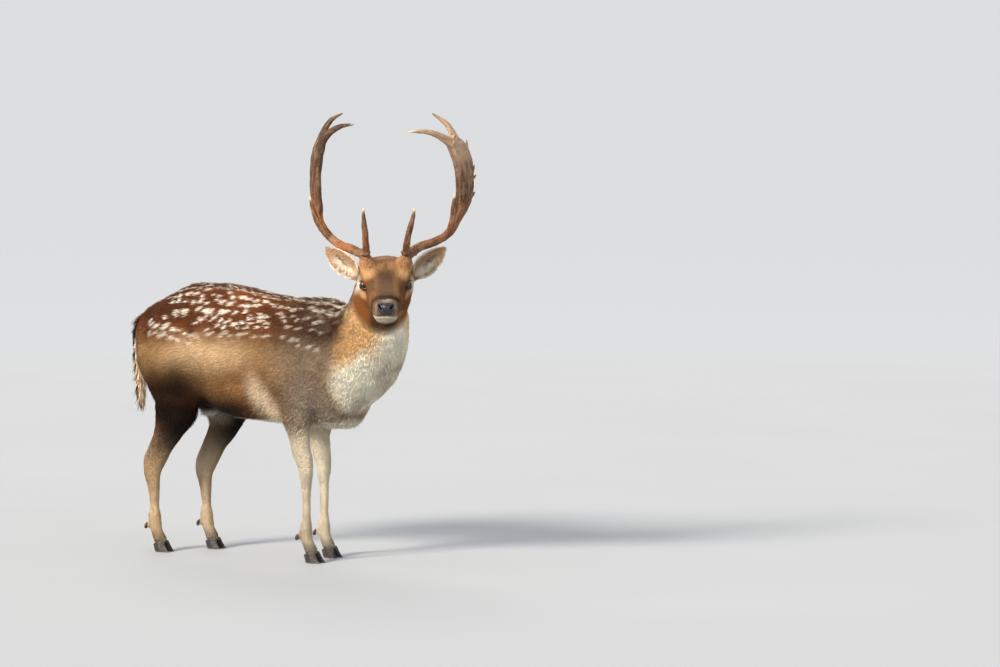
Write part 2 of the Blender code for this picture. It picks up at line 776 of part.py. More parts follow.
def part_flesh(body, group, cutters):
    """Cuts the flesh thinly and gives each length its own object."""
    cut(body, head_shell(cutters))
    cut(body, slab(NECK_CUT_PLACE, (GAP, 0.50, 0.75), (0, NECK_CUT_PITCH, 0), cutters))
    for item in leg_slabs(cutters):
        cut(body, item)
    return loose_parts(body, group)


def piece_name(low, high):
    """The node name of a parted length of flesh, from its box."""
    middle = (low + high) / 2
    if (middle - np.array(HEAD_PLACE))[2] > -0.08:
        return "head"
    if middle[2] > 0.70:
        return "neck"
    if high[2] > 0.80:
        return "trunk"
    leg = "foreleg" if middle[0] > 0 else "hindleg"
    side = "left" if middle[1] > 0 else "right"
    length = "pastern" if high[2] < 0.15 else "cannon" if high[2] < 0.30 else "upper"
    return f"{leg}_{side}_{length}"


def islands(shape):
    """The connected pieces of a mesh, each as an ordered list of its vertices."""
    shape.verts.ensure_lookup_table()
    shape.verts.index_update()
    owner = [None] * len(shape.verts)
    pieces = []
    for first in shape.verts:
        if owner[first.index] is not None:
            continue
        owner[first.index] = len(pieces)
        piece = [first]
        for vertex in piece:
            for link in vertex.link_edges:
                other = link.other_vert(vertex)
                if owner[other.index] is None:
                    owner[other.index] = len(pieces)
                    piece.append(other)
        pieces.append(piece)
    return pieces


def loose_parts(body, group):
    """Each separate piece of a mesh as an object of its own; crumbs are dropped."""
    shape = bmesh.new()
    shape.from_mesh(body.data)
    made = []
    for piece in islands(shape):
        places = np.array([vertex.co for vertex in piece])
        low, high = places.min(0), places.max(0)
        if (high - low).max() < CRUMB:
            continue
        part = bmesh.new()
        copies = {vertex.index: part.verts.new(vertex.co) for vertex in piece}
        for face in shape.faces:
            if face.verts[0].index in copies:
                part.faces.new([copies[vertex.index] for vertex in face.verts])
        name = piece_name(low, high)
        mesh = bpy.data.meshes.new(name)
        part.to_mesh(mesh)
        part.free()
        made.append(new_object(name, mesh, group))
    shape.free()
    bpy.data.objects.remove(body, do_unlink=True)
    return made


def coat_of(name):
    """The coat material of a parted length of flesh."""
    if name == "head":
        return "coat_face"
    if "leg" in name:
        return "coat_leg"
    return "coat_chestnut"


def centre_on_origin(group):
    """Moves the deer so that the middle of its box stands over the origin."""
    places = [vertex.co for item in group.objects for vertex in item.data.vertices]
    low = [min(place[k] for place in places) for k in range(3)]
    high = [max(place[k] for place in places) for k in range(3)]
    middle = Vector(((low[0] + high[0]) / 2, (low[1] + high[1]) / 2, low[2]))
    for item in group.objects:
        item.data.transform(Matrix.Translation(-middle))


def nose_pad(grow, name, group):
    """The leathery pad of the nose, or the room for it."""
    radii = [radius + grow for radius in NOSE_PAD_SIZE]
    pad = ellipsoid(name, NOSE_PAD_PLACE, radii, 0, group, 12)
    pad.data.transform(head_frame())
    return pad


def main():
    """Builds the deer."""
    clear_scene()
    deer = new_collection("fallow_deer")
    cutters = new_collection("cutters", hidden=True)
    body = flesh(cutters)
    room = grown_copy(body, "room", cutters, CLEARANCE)
    for side, word in ((1, "left"), (-1, "right")):
        leaf = ear(side, deer)
        cut(leaf, room, keep_cutter=True)
        cut(leaf, antler_length(side, "beam", cutters, CLEARANCE))
        dress(leaf, "coat_ear")
        for item in antler(side, deer, cutters, room):
            dress(item, "antler_bone")
        place = head_frame() @ Vector(mirrored(EYE_PLACE, side))
        eye = ellipsoid("eye_" + word, place, (EYE_RADIUS,) * 3, 0, deer, 12)
        cut(body, ellipsoid("socket", place, (EYE_RADIUS + CLEARANCE,) * 3, 0, cutters, 12))
        dress(eye, "eye_wet")
    tail = limb("tail", TAIL_STATIONS, (0, 1, 0), deer, 12, 10)
    cut(tail, room, keep_cutter=True)
    dress(tail, "coat_tail")
    dress(nose_pad(0.0, "nose_pad", deer), "nose_leather")
    cut(body, nose_pad(CLEARANCE, "pad_room", cutters))
    for item in hooves(deer, cutters, body):
        if item.name.startswith("dewclaw"):
            cut(item, room, keep_cutter=True)
        dress(item, "hoof_horn")
    for piece in part_flesh(body, deer, cutters):
        dress(piece, coat_of(piece.name))
    centre_on_origin(deer)
    for item in cutters.objects:
        item.hide_render = True
        item.display_type = "WIRE"


main()
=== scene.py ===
"""A life-size fallow buck in its autumn coat, finished as a studio model over a fixed frame.

One skin takes the place of the lengths of flesh, and a coat of small closed tufts lies over it.
The antlers, eyes and hooves are separate pieces. Everything is in metres, with +Z up.
"""

from __future__ import annotations

import logging
import math
from collections.abc import Callable
from dataclasses import dataclass, field, fields
from enum import Enum

import bmesh
import bpy
import numpy as np
from bpy.types import Material, Mesh, Node, NodeSocket, NodeTree, Object
from mathutils import Matrix, Vector

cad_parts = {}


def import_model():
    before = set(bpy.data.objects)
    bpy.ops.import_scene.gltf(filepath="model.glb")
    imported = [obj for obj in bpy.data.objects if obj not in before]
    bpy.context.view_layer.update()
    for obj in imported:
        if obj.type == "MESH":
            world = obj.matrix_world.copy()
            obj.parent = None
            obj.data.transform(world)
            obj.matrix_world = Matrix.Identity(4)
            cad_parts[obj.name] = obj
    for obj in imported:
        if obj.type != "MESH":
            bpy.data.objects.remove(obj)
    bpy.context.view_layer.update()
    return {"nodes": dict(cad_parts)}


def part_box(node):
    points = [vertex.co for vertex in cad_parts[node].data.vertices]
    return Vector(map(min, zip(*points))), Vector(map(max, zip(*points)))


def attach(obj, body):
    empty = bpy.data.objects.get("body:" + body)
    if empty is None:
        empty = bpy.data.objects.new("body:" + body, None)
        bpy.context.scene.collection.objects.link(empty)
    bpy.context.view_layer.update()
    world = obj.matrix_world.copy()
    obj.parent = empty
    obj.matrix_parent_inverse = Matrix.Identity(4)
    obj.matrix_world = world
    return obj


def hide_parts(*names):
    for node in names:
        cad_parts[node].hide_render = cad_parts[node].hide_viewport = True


LOG = logging.getLogger("fallow_buck")
BODY = "root"
COLOUR = "coat_colour"
BARE = "bare"
BAKE_MAP = "OFBake"
FAR_AWAY = 9.0  # A reach that stands for not near at all.

Array = np.ndarray


class Side(Enum):
    """The deer's own left and right."""

    LEFT = 1
    RIGHT = -1

    @property
    def word(self) -> str:
        """The side's name, as the frame's nodes use it."""
        return self.name.lower()


# Small tools for arrays of points.


def unit(rows: Array) -> Array:
    """Each row made one long."""
    return rows / np.maximum(np.linalg.norm(rows, axis=-1, keepdims=True), 1e-9)


def ramp(value: Array, low: float, high: float) -> Array:
    """A soft step from 0 at low to 1 at high."""
    t = np.clip((np.asarray(value, float) - low) / (high - low), 0, 1)
    return t * t * (3 - 2 * t)


def hump(value: Array, width: float | Array) -> Array:
    """A smooth hump: 1 where the value is 0, fading over the width."""
    return np.exp(-((value / width) ** 2))


def blob(points: Array, centre: tuple, radii: tuple, edge: float = 0.35) -> Array:
    """How far each point is inside a soft ball.

    Args:
        points: rows of x, y, z.
        centre: the ball's middle.
        radii: its half sizes along x, y and z.
        edge: how wide its soft edge is, as a share of its size.

    Returns:
        1 well inside, 0 outside.
    """
    reach = np.linalg.norm((points - np.array(centre)) / np.array(radii), axis=1)
    return 1 - ramp(reach, 1 - edge, 1 + edge)


def noise(points: Array, size: float, seed: int) -> Array:
    """Smooth noise from -1 to 1.

    Args:
        points: rows of x, y, z.
        size: how wide a lump is.
        seed: which noise.

    Returns:
        One value for each row.
    """
    places = points / size + seed * 17.31
    cell = np.floor(places).astype(np.int64)
    t = places - cell
    t = t * t * (3 - 2 * t)
    total = np.zeros(len(points))
    for corner in range(8):
        step = np.array([corner & 1, corner >> 1 & 1, corner >> 2 & 1])
        share = np.prod(np.where(step, t, 1 - t), axis=1)
        x, y, z = (cell + step).T
        stirred = (x * 73856093 ^ y * 19349663 ^ z * 83492791 ^ seed * 26544357) & 0xFFFFFFFF
        stirred = (stirred ^ (stirred >> 13)) * 1274126177 & 0xFFFFFFFF
        total += share * ((stirred ^ (stirred >> 16)) & 0xFFFF) / 65535
    return total * 2 - 1


def colour(red: int, green: int, blue: int) -> Array:
    """A linear colour from the usual 0 to 255 display values."""
    share = np.array([red, green, blue]) / 255
    return np.where(share <= 0.04045, share / 12.92, ((share + 0.055) / 1.055) ** 2.4)


def mixed(base: Array, other: Array | tuple, share: Array) -> Array:
    """Rows with another row, or other rows, mixed in by a share for each."""
    return base + (other - base) * np.clip(share, 0, 1)[:, None]


def layered(base: Array, *layers: tuple) -> Array:
    """Rows with several others mixed in, one after the other.

    Args:
        base: rows of colours, directions or sizes.
        layers: for each, what is mixed in and its share for each row.

    Returns:
        The new rows.
    """
    for other, share in layers:
        base = mixed(base, other, share)
    return base


def spread(row: Array | tuple, count: int) -> Array:
    """One row laid out for each of many points."""
    return np.tile(row, (count, 1))


def laid_flat(rows: Array, normals: Array) -> Array:
    """Directions turned to run along the surface, each one long."""
    return unit(rows - np.sum(rows * normals, axis=1, keepdims=True) * normals)


def fetched(items: bpy.types.bpy_prop_collection, key: str, wide: int = 0) -> Array:
    """Reads one property of every item of a mesh's list.

    Args:
        items: the list.
        key: the property.
        wide: how many numbers it has, or 0 for one whole number.

    Returns:
        One value or row for each item.
    """
    values = np.empty(len(items) * max(wide, 1), float if wide else np.int64)
    items.foreach_get(key, values)
    return values.reshape(-1, wide) if wide else values


@dataclass
class Web:
    """The links that a surface's edges make between its points."""

    edges: Array
    count: int

    def __post_init__(self) -> None:
        """Counts each point's links."""
        self.links = np.maximum(np.bincount(self.edges.ravel(), minlength=self.count), 1)

    def gathered(self, first: Array, second: Array) -> Array:
        """The mean at each point of what its edges bring.

        Args:
            first: for each edge, what its first point gets.
            second: for each edge, what its second point gets.

        Returns:
            One value for each point.
        """
        one, two = self.edges.T
        total = np.bincount(one, first, self.count) + np.bincount(two, second, self.count)
        return total / self.links

    def near(self, values: Array) -> Array:
        """The mean of each point's neighbours."""
        one, two = self.edges.T
        return self.gathered(values[two], values[one])


@dataclass
class Shell:
    """A mesh as arrays: points, and triangles or quads of point numbers."""

    points: Array
    faces: list[Array]
    colours: Array | None = None

    @classmethod
    def read(cls, mesh: Mesh) -> Shell:
        """The arrays of a mesh.

        Args:
            mesh: where they are read.

        Returns:
            The shell.
        """
        corners = fetched(mesh.loops, "vertex_index")
        start = fetched(mesh.polygons, "loop_start")
        total = fetched(mesh.polygons, "loop_total")
        faces = []
        for sides in np.unique(total):
            first = start[total == sides]
            faces.append(corners[first[:, None] + np.arange(sides)])
        return cls(fetched(mesh.vertices, "co", 3), faces)

    def triangles(self) -> Array:
        """All faces as triangles."""
        rows = []
        for group in self.faces:
            for k in range(1, group.shape[1] - 1):
                rows.append(group[:, [0, k, k + 1]])
        return np.concatenate(rows)

    def web(self) -> Web:
        """The surface's edges, each once."""
        rows = []
        for group in self.faces:
            for k in range(group.shape[1]):
                rows.append(group[:, [k, (k + 1) % group.shape[1]]])
        edges = np.unique(np.sort(np.concatenate(rows), axis=1), axis=0)
        return Web(edges, len(self.points))

    def normals(self) -> Array:
        """The outward normal at each point."""
        tri = self.triangles()
        a, b, c = (self.points[tri[:, k]] for k in range(3))
        face = np.cross(b - a, c - a)
        total = np.zeros_like(self.points)
        for k in range(3):
            for axis in range(3):
                total[:, axis] += np.bincount(tri[:, k], face[:, axis], len(total))
        return unit(total)

    def relax(self, weight: Array | float, rounds: int) -> None:
        """Smooths facets away without shrinking what is round.

        Args:
            weight: how far each point may move, from 0 to 1.
            rounds: how many times each point is drawn in and let out again.
        """
        web = self.web()
        share = np.ones(len(self.points)) * weight
        for step in (0.5, -0.53) * rounds:
            middle = np.column_stack([web.near(row) for row in self.points.T])
            self.points = self.points + (middle - self.points) * (share * step)[:, None]

    def mesh(self, name: str) -> Mesh:
        """A smooth-shaded mesh of these arrays, with its colours.

        Args:
            name: the mesh's name.

        Returns:
            The mesh.
        """
        made = bpy.data.meshes.new(name)
        made.vertices.add(len(self.points))
        made.vertices.foreach_set("co", self.points.astype(np.float32).ravel())
        corners = np.concatenate([group.ravel() for group in self.faces])
        total = np.concatenate([np.full(len(g), g.shape[1]) for g in self.faces])
        made.loops.add(len(corners))
        made.loops.foreach_set("vertex_index", corners.astype(np.int32))
        made.polygons.add(len(total))
        start = np.concatenate([[0], np.cumsum(total)[:-1]])
        made.polygons.foreach_set("loop_start", start.astype(np.int32))
        made.update(calc_edges=True)
        made.validate()
        made.shade_smooth()
        if self.colours is not None:
            layer = made.color_attributes.new(COLOUR, "FLOAT_COLOR", "POINT")
            full = np.ones((len(self.colours), 4), np.float32)
            full[:, :3] = np.clip(self.colours, 0, 1)
            layer.data.foreach_set("color", full.ravel())
        return made


def merged(shells: list[Shell]) -> Shell:
    """Several shells as one, with their colours.

    Args:
        shells: what is put together, each with or all without colours.

    Returns:
        The one shell.
    """
    faces, start = [], 0
    for shell in shells:
        faces += [group + start for group in shell.faces]
        start += len(shell.points)
    sides = sorted({group.shape[1] for group in faces})
    whole = [np.concatenate([g for g in faces if g.shape[1] == n]) for n in sides]
    points, colours = (np.concatenate([getattr(s, n) for s in shells]) for n in ("points", "colours"))
    return Shell(points, whole, colours)


def linked(name: str, data: bpy.types.ID) -> Object:
    """A new object in the scene that holds some data.

    Args:
        name: the object's name.
        data: what it holds.

    Returns:
        The object.
    """
    made = bpy.data.objects.new(name, data)
    bpy.context.scene.collection.objects.link(made)
    return made


def settled(shape: bmesh.types.BMesh, name: str) -> Mesh:
    """A mesh made of a shape, which is then freed.

    Args:
        shape: the faces.
        name: the mesh's name.

    Returns:
        The mesh.
    """
    mesh = bpy.data.meshes.new(name)
    shape.to_mesh(mesh)
    shape.free()
    return mesh


def remeshed(meshes: list[Mesh], cell: float) -> Shell:
    """One closed surface round several closed meshes.

    Args:
        meshes: what is joined.
        cell: the size of the new faces.

    Returns:
        The surface as arrays.
    """
    shape = bmesh.new()
    for mesh in meshes:
        shape.from_mesh(mesh)
    joined = settled(shape, "joined")
    holder = linked("joined", joined)
    step = holder.modifiers.new("one surface", "REMESH")
    step.mode = "VOXEL"
    step.voxel_size = cell
    graph = bpy.context.evaluated_depsgraph_get()
    graph.update()
    result = bpy.data.meshes.new_from_object(holder.evaluated_get(graph))
    shell = Shell.read(result)
    bpy.data.objects.remove(holder, do_unlink=True)
    bpy.data.meshes.remove(joined)
    bpy.data.meshes.remove(result)
    return shell


def cone(place: Matrix, foot: Array, top: Array, wide: float, narrow: float) -> Mesh:
    """A round tapered stump.

    Args:
        place: the frame that its ends are given in.
        foot: the middle of its wide end.
        top: the middle of its narrow end.
        wide: the radius at its foot.
        narrow: the radius at its top.

    Returns:
        The closed mesh, in the scene.
    """
    low, high = Vector(foot), Vector(top)
    shape = bmesh.new()
    bmesh.ops.create_cone(shape, segments=24, radius1=wide, radius2=narrow, depth=1, cap_ends=True)
    turn = (high - low).to_track_quat("Z", "Y").to_matrix().to_4x4()
    stretch = Matrix.Diagonal((1, 1, (high - low).length, 1))
    shape.transform(place @ Matrix.Translation((low + high) / 2) @ turn @ stretch)
    return settled(shape, "stump")


def refined(shell: Shell, wanted: Callable[[Array], Array]) -> Shell:
    """Cuts faces into four where they are wanted finer, and eases the new points in.

    Args:
        shell: the surface.
        wanted: tells from rows of x, y, z which are inside the fine part.

    Returns:
        The finer surface.
    """
    mesh = shell.mesh("coarse")
    shape = bmesh.new()
    shape.from_mesh(mesh)
    bpy.data.meshes.remove(mesh)
    inside = wanted(shell.points)
    chosen = [e for e in shape.edges if inside[e.verts[0].index] and inside[e.verts[1].index]]
    bmesh.ops.subdivide_edges(shape, edges=chosen, cuts=1, use_grid_fill=True)
    mesh = settled(shape, "fine")
    made = Shell.read(mesh)
    bpy.data.meshes.remove(mesh)
    made.relax(wanted(made.points), 3)
    return made


# Where the body and the head lie.


@dataclass
class Anatomy:
    """The deer's own frames: one for the body, one for the head.

    The body's frame is level, with +X forward from a point under the loin. The head's frame
    starts between the eyes, with +X along the muzzle.
    """

    rump_behind: float = 0.446
    head_yaw: float = math.radians(-56)
    head_pitch: float = math.radians(25)
    eye_from_middle: tuple = (-0.002, 0.069, 0.001)
    shift: Array = field(init=False)
    head: Matrix = field(init=False)

    def __post_init__(self) -> None:
        """Finds both frames from the frame's boxes."""
        low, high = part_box("trunk")
        self.shift = np.array([low[0] + self.rump_behind, (low[1] + high[1]) / 2, 0.0])
        eyes = [Vector(corner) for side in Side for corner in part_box("eye_" + side.word)]
        middle = sum(eyes, Vector()) / len(eyes)
        turn = Matrix.Rotation(self.head_yaw, 4, "Z") @ Matrix.Rotation(self.head_pitch, 4, "Y")
        x, _, z = self.eye_from_middle
        self.head = Matrix.Translation(middle - turn @ Vector((x, 0, z))) @ turn

    def to_body(self, points: Array) -> Array:
        """Points of the scene in the body's frame."""
        return points - self.shift

    def to_head(self, points: Array) -> Array:
        """Points of the scene in the head's frame."""
        back = np.array(self.head.inverted())
        return points @ back[:3, :3].T + back[:3, 3]

    def from_head(self, points: Array) -> Array:
        """Points of the head's frame in the scene."""
        turn = np.array(self.head)
        return points @ turn[:3, :3].T + turn[:3, 3]

    def turned(self, directions: Array) -> Array:
        """Directions of the head's frame in the scene."""
        return directions @ np.array(self.head)[:3, :3].T

    def headness(self, points: Array) -> Array:
        """1 on the head, 0 on the neck and body, with a soft edge."""
        at = (self.to_head(points) - (0.05, 0.0, 0.0)) / (0.2, 0.14, 0.14)
        return 1 - ramp(np.linalg.norm(at, axis=1), 0.86, 1.12)


@dataclass(frozen=True)
class Face:
    """The features of the face, in the head's frame, alike on both sides."""

    eye: tuple = (-0.002, 0.069, 0.001)
    eye_radius: float = 0.0165
    gaze: tuple = (0.6, 0.79, 0.12)
    lie_of_eye: tuple = (0.79, -0.6, -0.13)
    opening_length: float = 0.9
    opening_above: float = 0.6
    opening_below: float = 0.56
    lid: float = 0.0021
    socket: float = 0.0046
    tear_pit: tuple = (0.026, 0.071, -0.004)
    nostril: tuple = (0.181, 0.0178, 0.0105)
    nostril_depth: float = 0.01
    nostril_half: tuple = (0.0086, 0.0042)
    mouth_z: float = -0.019
    mouth_corner_x: float = 0.088

    def folded(self, head: Array) -> Array:
        """Both sides of the face laid on the left one."""
        return head * (1, 0, 1) + np.abs(head) * (0, 1, 0)

    def eye_axes(self) -> tuple[Array, Array, Array]:
        """The eye's outward, forward and upward directions."""
        out = unit(np.array(self.gaze))
        along = np.array(self.lie_of_eye)
        along = unit(along - along.dot(out) * out)
        up = np.cross(out, along)
        return out, along, up if up[2] > 0 else -up

    def eye_reach(self, face: Array) -> tuple[Array, Array, Array, Array]:
        """Where each point lies round the eye.

        Args:
            face: folded rows of the head.

        Returns:
            The reach, which is 1 on the edge of the lids and less in the opening, the direction
            from the eye's centre, the distance from it, and the height above its long axis.
        """
        out, along, up = self.eye_axes()
        away = face - np.array(self.eye)
        far = np.linalg.norm(away, axis=1)
        way = away / np.maximum(far, 1e-6)[:, None]
        above = way @ up
        across = np.abs(way @ along) / self.opening_length
        tall = np.abs(above) / np.where(above > 0, self.opening_above, self.opening_below)
        reach = (across**1.7 + tall**1.9) ** (1 / 1.8)
        return np.where(way @ out > 0.0, reach, FAR_AWAY), way, far, above

    def near_eye(self, face: Array) -> Array:
        """1 close to the eye, 0 from two fingers away."""
        return 1 - ramp(np.linalg.norm(face - np.array(self.eye), axis=1), 0.023, 0.036)

    def pad(self, face: Array) -> Array:
        """1 on the bare leather of the nose, 0 on hair.

        Args:
            face: folded rows of the head.

        Returns:
            One share for each row.
        """
        x, y, z = face.T
        half = 0.0175 + 0.0095 * ramp(z, -0.016, 0.01)
        top = 0.0225 + 0.0035 * ramp(y, 0.002, 0.014) - 0.01 * ramp(y, 0.02, 0.028)
        inside = (1 - ramp(y, half - 0.001, half + 0.002)) * (1 - ramp(z, top - 0.001, top + 0.002))
        return inside * ramp(x, 0.158, 0.163) * ramp(z, self.mouth_z - 0.002, self.mouth_z + 0.002)

    def nostril_reach(self, face: Array) -> Array:
        """How far each point is from the nostril's middle, with 1 at its edge.

        Args:
            face: folded rows of the head.

        Returns:
            One reach for each row. The nostril is a slanted comma.
        """
        x, y, z = (face - np.array(self.nostril)).T
        long_way = 0.8 * y + 0.6 * z
        short_way = -0.6 * y + 0.8 * z + 14.0 * long_way**2
        reach = np.hypot(long_way / self.nostril_half[0], short_way / self.nostril_half[1])
        return np.where(np.abs(x) < 0.018, reach, FAR_AWAY)

    def mouth_offset(self, face: Array) -> Array:
        """The height of each point above the line of the closed mouth.

        Args:
            face: folded rows of the head.

        Returns:
            One height for each row.
        """
        x, y, z = face.T
        line = self.mouth_z - 0.01 * np.minimum(y / 0.04, 1.2) ** 2
        return z - line + 0.045 * np.maximum(0.15 - x, 0)

    def mouthness(self, face: Array) -> Array:
        """1 where the mouth's line runs, 0 behind its corner."""
        return ramp(face[:, 0], self.mouth_corner_x - 0.008, self.mouth_corner_x + 0.012)

    def sculpted(self, head: Array, normals: Array) -> Array:
        """Adds the lids, tear pit, nostrils, lips and folds to the smooth head.

        Args:
            head: rows of the head's frame.
            normals: the outward normals there, in the same frame.

        Returns:
            The new rows.
        """
        side = np.where(head[:, 1] < 0, -1.0, 1.0)
        face, out = self.folded(head), normals * (1, 0, 1)
        out[:, 1] = normals[:, 1] * side
        face = face - out * self.tear_hollow(face)[:, None]
        face = self.lidded(face)
        deep = self.nostril_depth * (1 - ramp(self.nostril_reach(face), 0.45, 1.05))
        lip = 0.0013 * hump(self.nostril_reach(face) - 1.45, 0.35)
        face = face + out * lip[:, None] - np.outer(deep, (1, 0.25, 0))
        face = face - out * self.mouth_groove(face)[:, None]
        face[:, 1] *= side
        return face

    def tear_hollow(self, face: Array) -> Array:
        """How deep the skin lies in the tear pit and its slit.

        Args:
            face: folded rows of the head.

        Returns:
            One depth for each row.
        """
        pit = 0.0052 * blob(face, self.tear_pit, (0.026, 0.022, 0.017), 0.6)
        slit = face - np.array((0.034, 0.068, -0.013))
        along = slit @ unit(np.array((0.86, -0.2, -0.47)))
        off = slit @ unit(np.array((0.47, 0.0, 0.88)))
        return pit + 0.0035 * hump(off, 0.0028) * hump(along, 0.0115) * (face[:, 1] > 0.03)

    def lidded(self, face: Array) -> Array:
        """Draws the skin round the eye onto its lids, with a fold above and below.

        Args:
            face: folded rows of the head.

        Returns:
            The new rows.
        """
        reach, way, far, above = self.eye_reach(face)
        rim = self.eye_radius + self.lid * (1.15 - 0.25 * ramp(-above, 0.1, 0.5))
        inner = self.eye_radius - self.socket
        target = inner + (rim - inner) * ramp(reach, 0.98, 1.09)
        target = target - 0.0012 * hump(reach - 1.62, 0.13) * (above > 0.1)
        target = target - 0.0007 * hump(reach - 1.5, 0.12) * (above < -0.1)
        share = (1 - ramp(reach, 1.45, 2.35)) * (1 - ramp(far, 0.0225, 0.035))
        return np.array(self.eye) + way * (far + (target - far) * share)[:, None]

    def mouth_groove(self, face: Array) -> Array:
        """How deep the skin lies in the mouth's line and the groove above it.

        Args:
            face: folded rows of the head.

        Returns:
            One depth for each row, below 0 where the lips stand proud.
        """
        above = self.mouth_offset(face)
        groove = 0.0042 * hump(above, 0.0019) - 0.0016 * hump(np.abs(above) - 0.006, 0.004)
        middle = hump(face[:, 1], 0.0016) * blob(face, (0.18, 0, -0.008), (0.02, 0.02, 0.013), 0.3)
        return groove * self.mouthness(face) + 0.0018 * middle


# The colours of the coat, shared by the skin and every tuft on it.


@dataclass(frozen=True)
class SpotRow:
    """One row of pale spots along the flank.

    Ends are given along the body and in degrees down from the line of the back.
    """

    start: tuple
    end: tuple
    count: int
    length: float
    height: float
    strength: float = 0.95


class Palette:
    """The coat's colours."""

    rust = colour(130, 72, 36)
    rust_dark = colour(82, 46, 25)
    spot = colour(252, 240, 220)
    dorsal = colour(64, 46, 34)
    sand = colour(238, 204, 160)
    tan = colour(200, 156, 106)
    flank = colour(120, 86, 48)
    thigh = colour(60, 33, 10)
    black = colour(8, 4, 1)
    cream = colour(252, 242, 220)
    grey_tan = colour(148, 132, 114)
    leg = colour(204, 186, 156)
    neck = colour(234, 188, 132)
    nape = colour(100, 78, 60)
    face = colour(166, 120, 78)
    cheek = colour(130, 78, 34)
    brow = colour(226, 182, 130)
    # The crown's tan, painted lighter as the sunlit top of the head.
    forehead = colour(98, 76, 60)
    crown = colour(188, 140, 98)
    muzzle = colour(116, 86, 58)
    white = colour(254, 244, 222)
    band = colour(32, 21, 16)
    leather = colour(50, 44, 50)
    lid = colour(22, 15, 13)
    ear = colour(160, 120, 78)
    ear_inside = colour(176, 150, 130)
    ear_streak = colour(98, 66, 50)


# The spots of each flank, from the line beside the back downwards.
ROWS = (
    SpotRow((-0.32, 14), (0.4, 12), 34, 0.013, 0.0042, 0.7),
    SpotRow((-0.27, 22), (0.17, 23), 15, 0.012, 0.008, 0.85),
    SpotRow((-0.23, 31), (0.14, 31), 14, 0.013, 0.009, 0.9),
    SpotRow((-0.2, 40), (-0.04, 40), 5, 0.015, 0.0105, 0.9),
    SpotRow((-0.07, 42), (0.18, 44), 12, 0.014, 0.008, 0.95),
    SpotRow((-0.11, 52), (0.18, 52), 13, 0.014, 0.008, 0.9),
    SpotRow((-0.05, 60), (0.18, 60), 8, 0.012, 0.007, 0.8),
    SpotRow((-0.33, 52), (-0.15, 67), 9, 0.012, 0.01, 0.85),
    SpotRow((-0.3, 66), (-0.15, 80), 7, 0.014, 0.011, 0.62),
    SpotRow((-0.12, 70), (0.18, 70), 11, 0.018, 0.008, 0.5),
    SpotRow((0.19, 28), (0.4, 29), 11, 0.011, 0.0065, 0.65),
    SpotRow((0.2, 40), (0.38, 42), 9, 0.012, 0.0075, 0.68),
    SpotRow((0.24, 54), (0.38, 55), 6, 0.011, 0.0075, 0.6),
    SpotRow((0.26, 67), (0.38, 80), 6, 0.014, 0.01, 0.62),
    SpotRow((-0.24, 47), (-0.02, 47), 6, 0.01, 0.007, 0.7),
    SpotRow((0.3, 16), (0.44, 14), 12, 0.012, 0.005, 0.7),
)


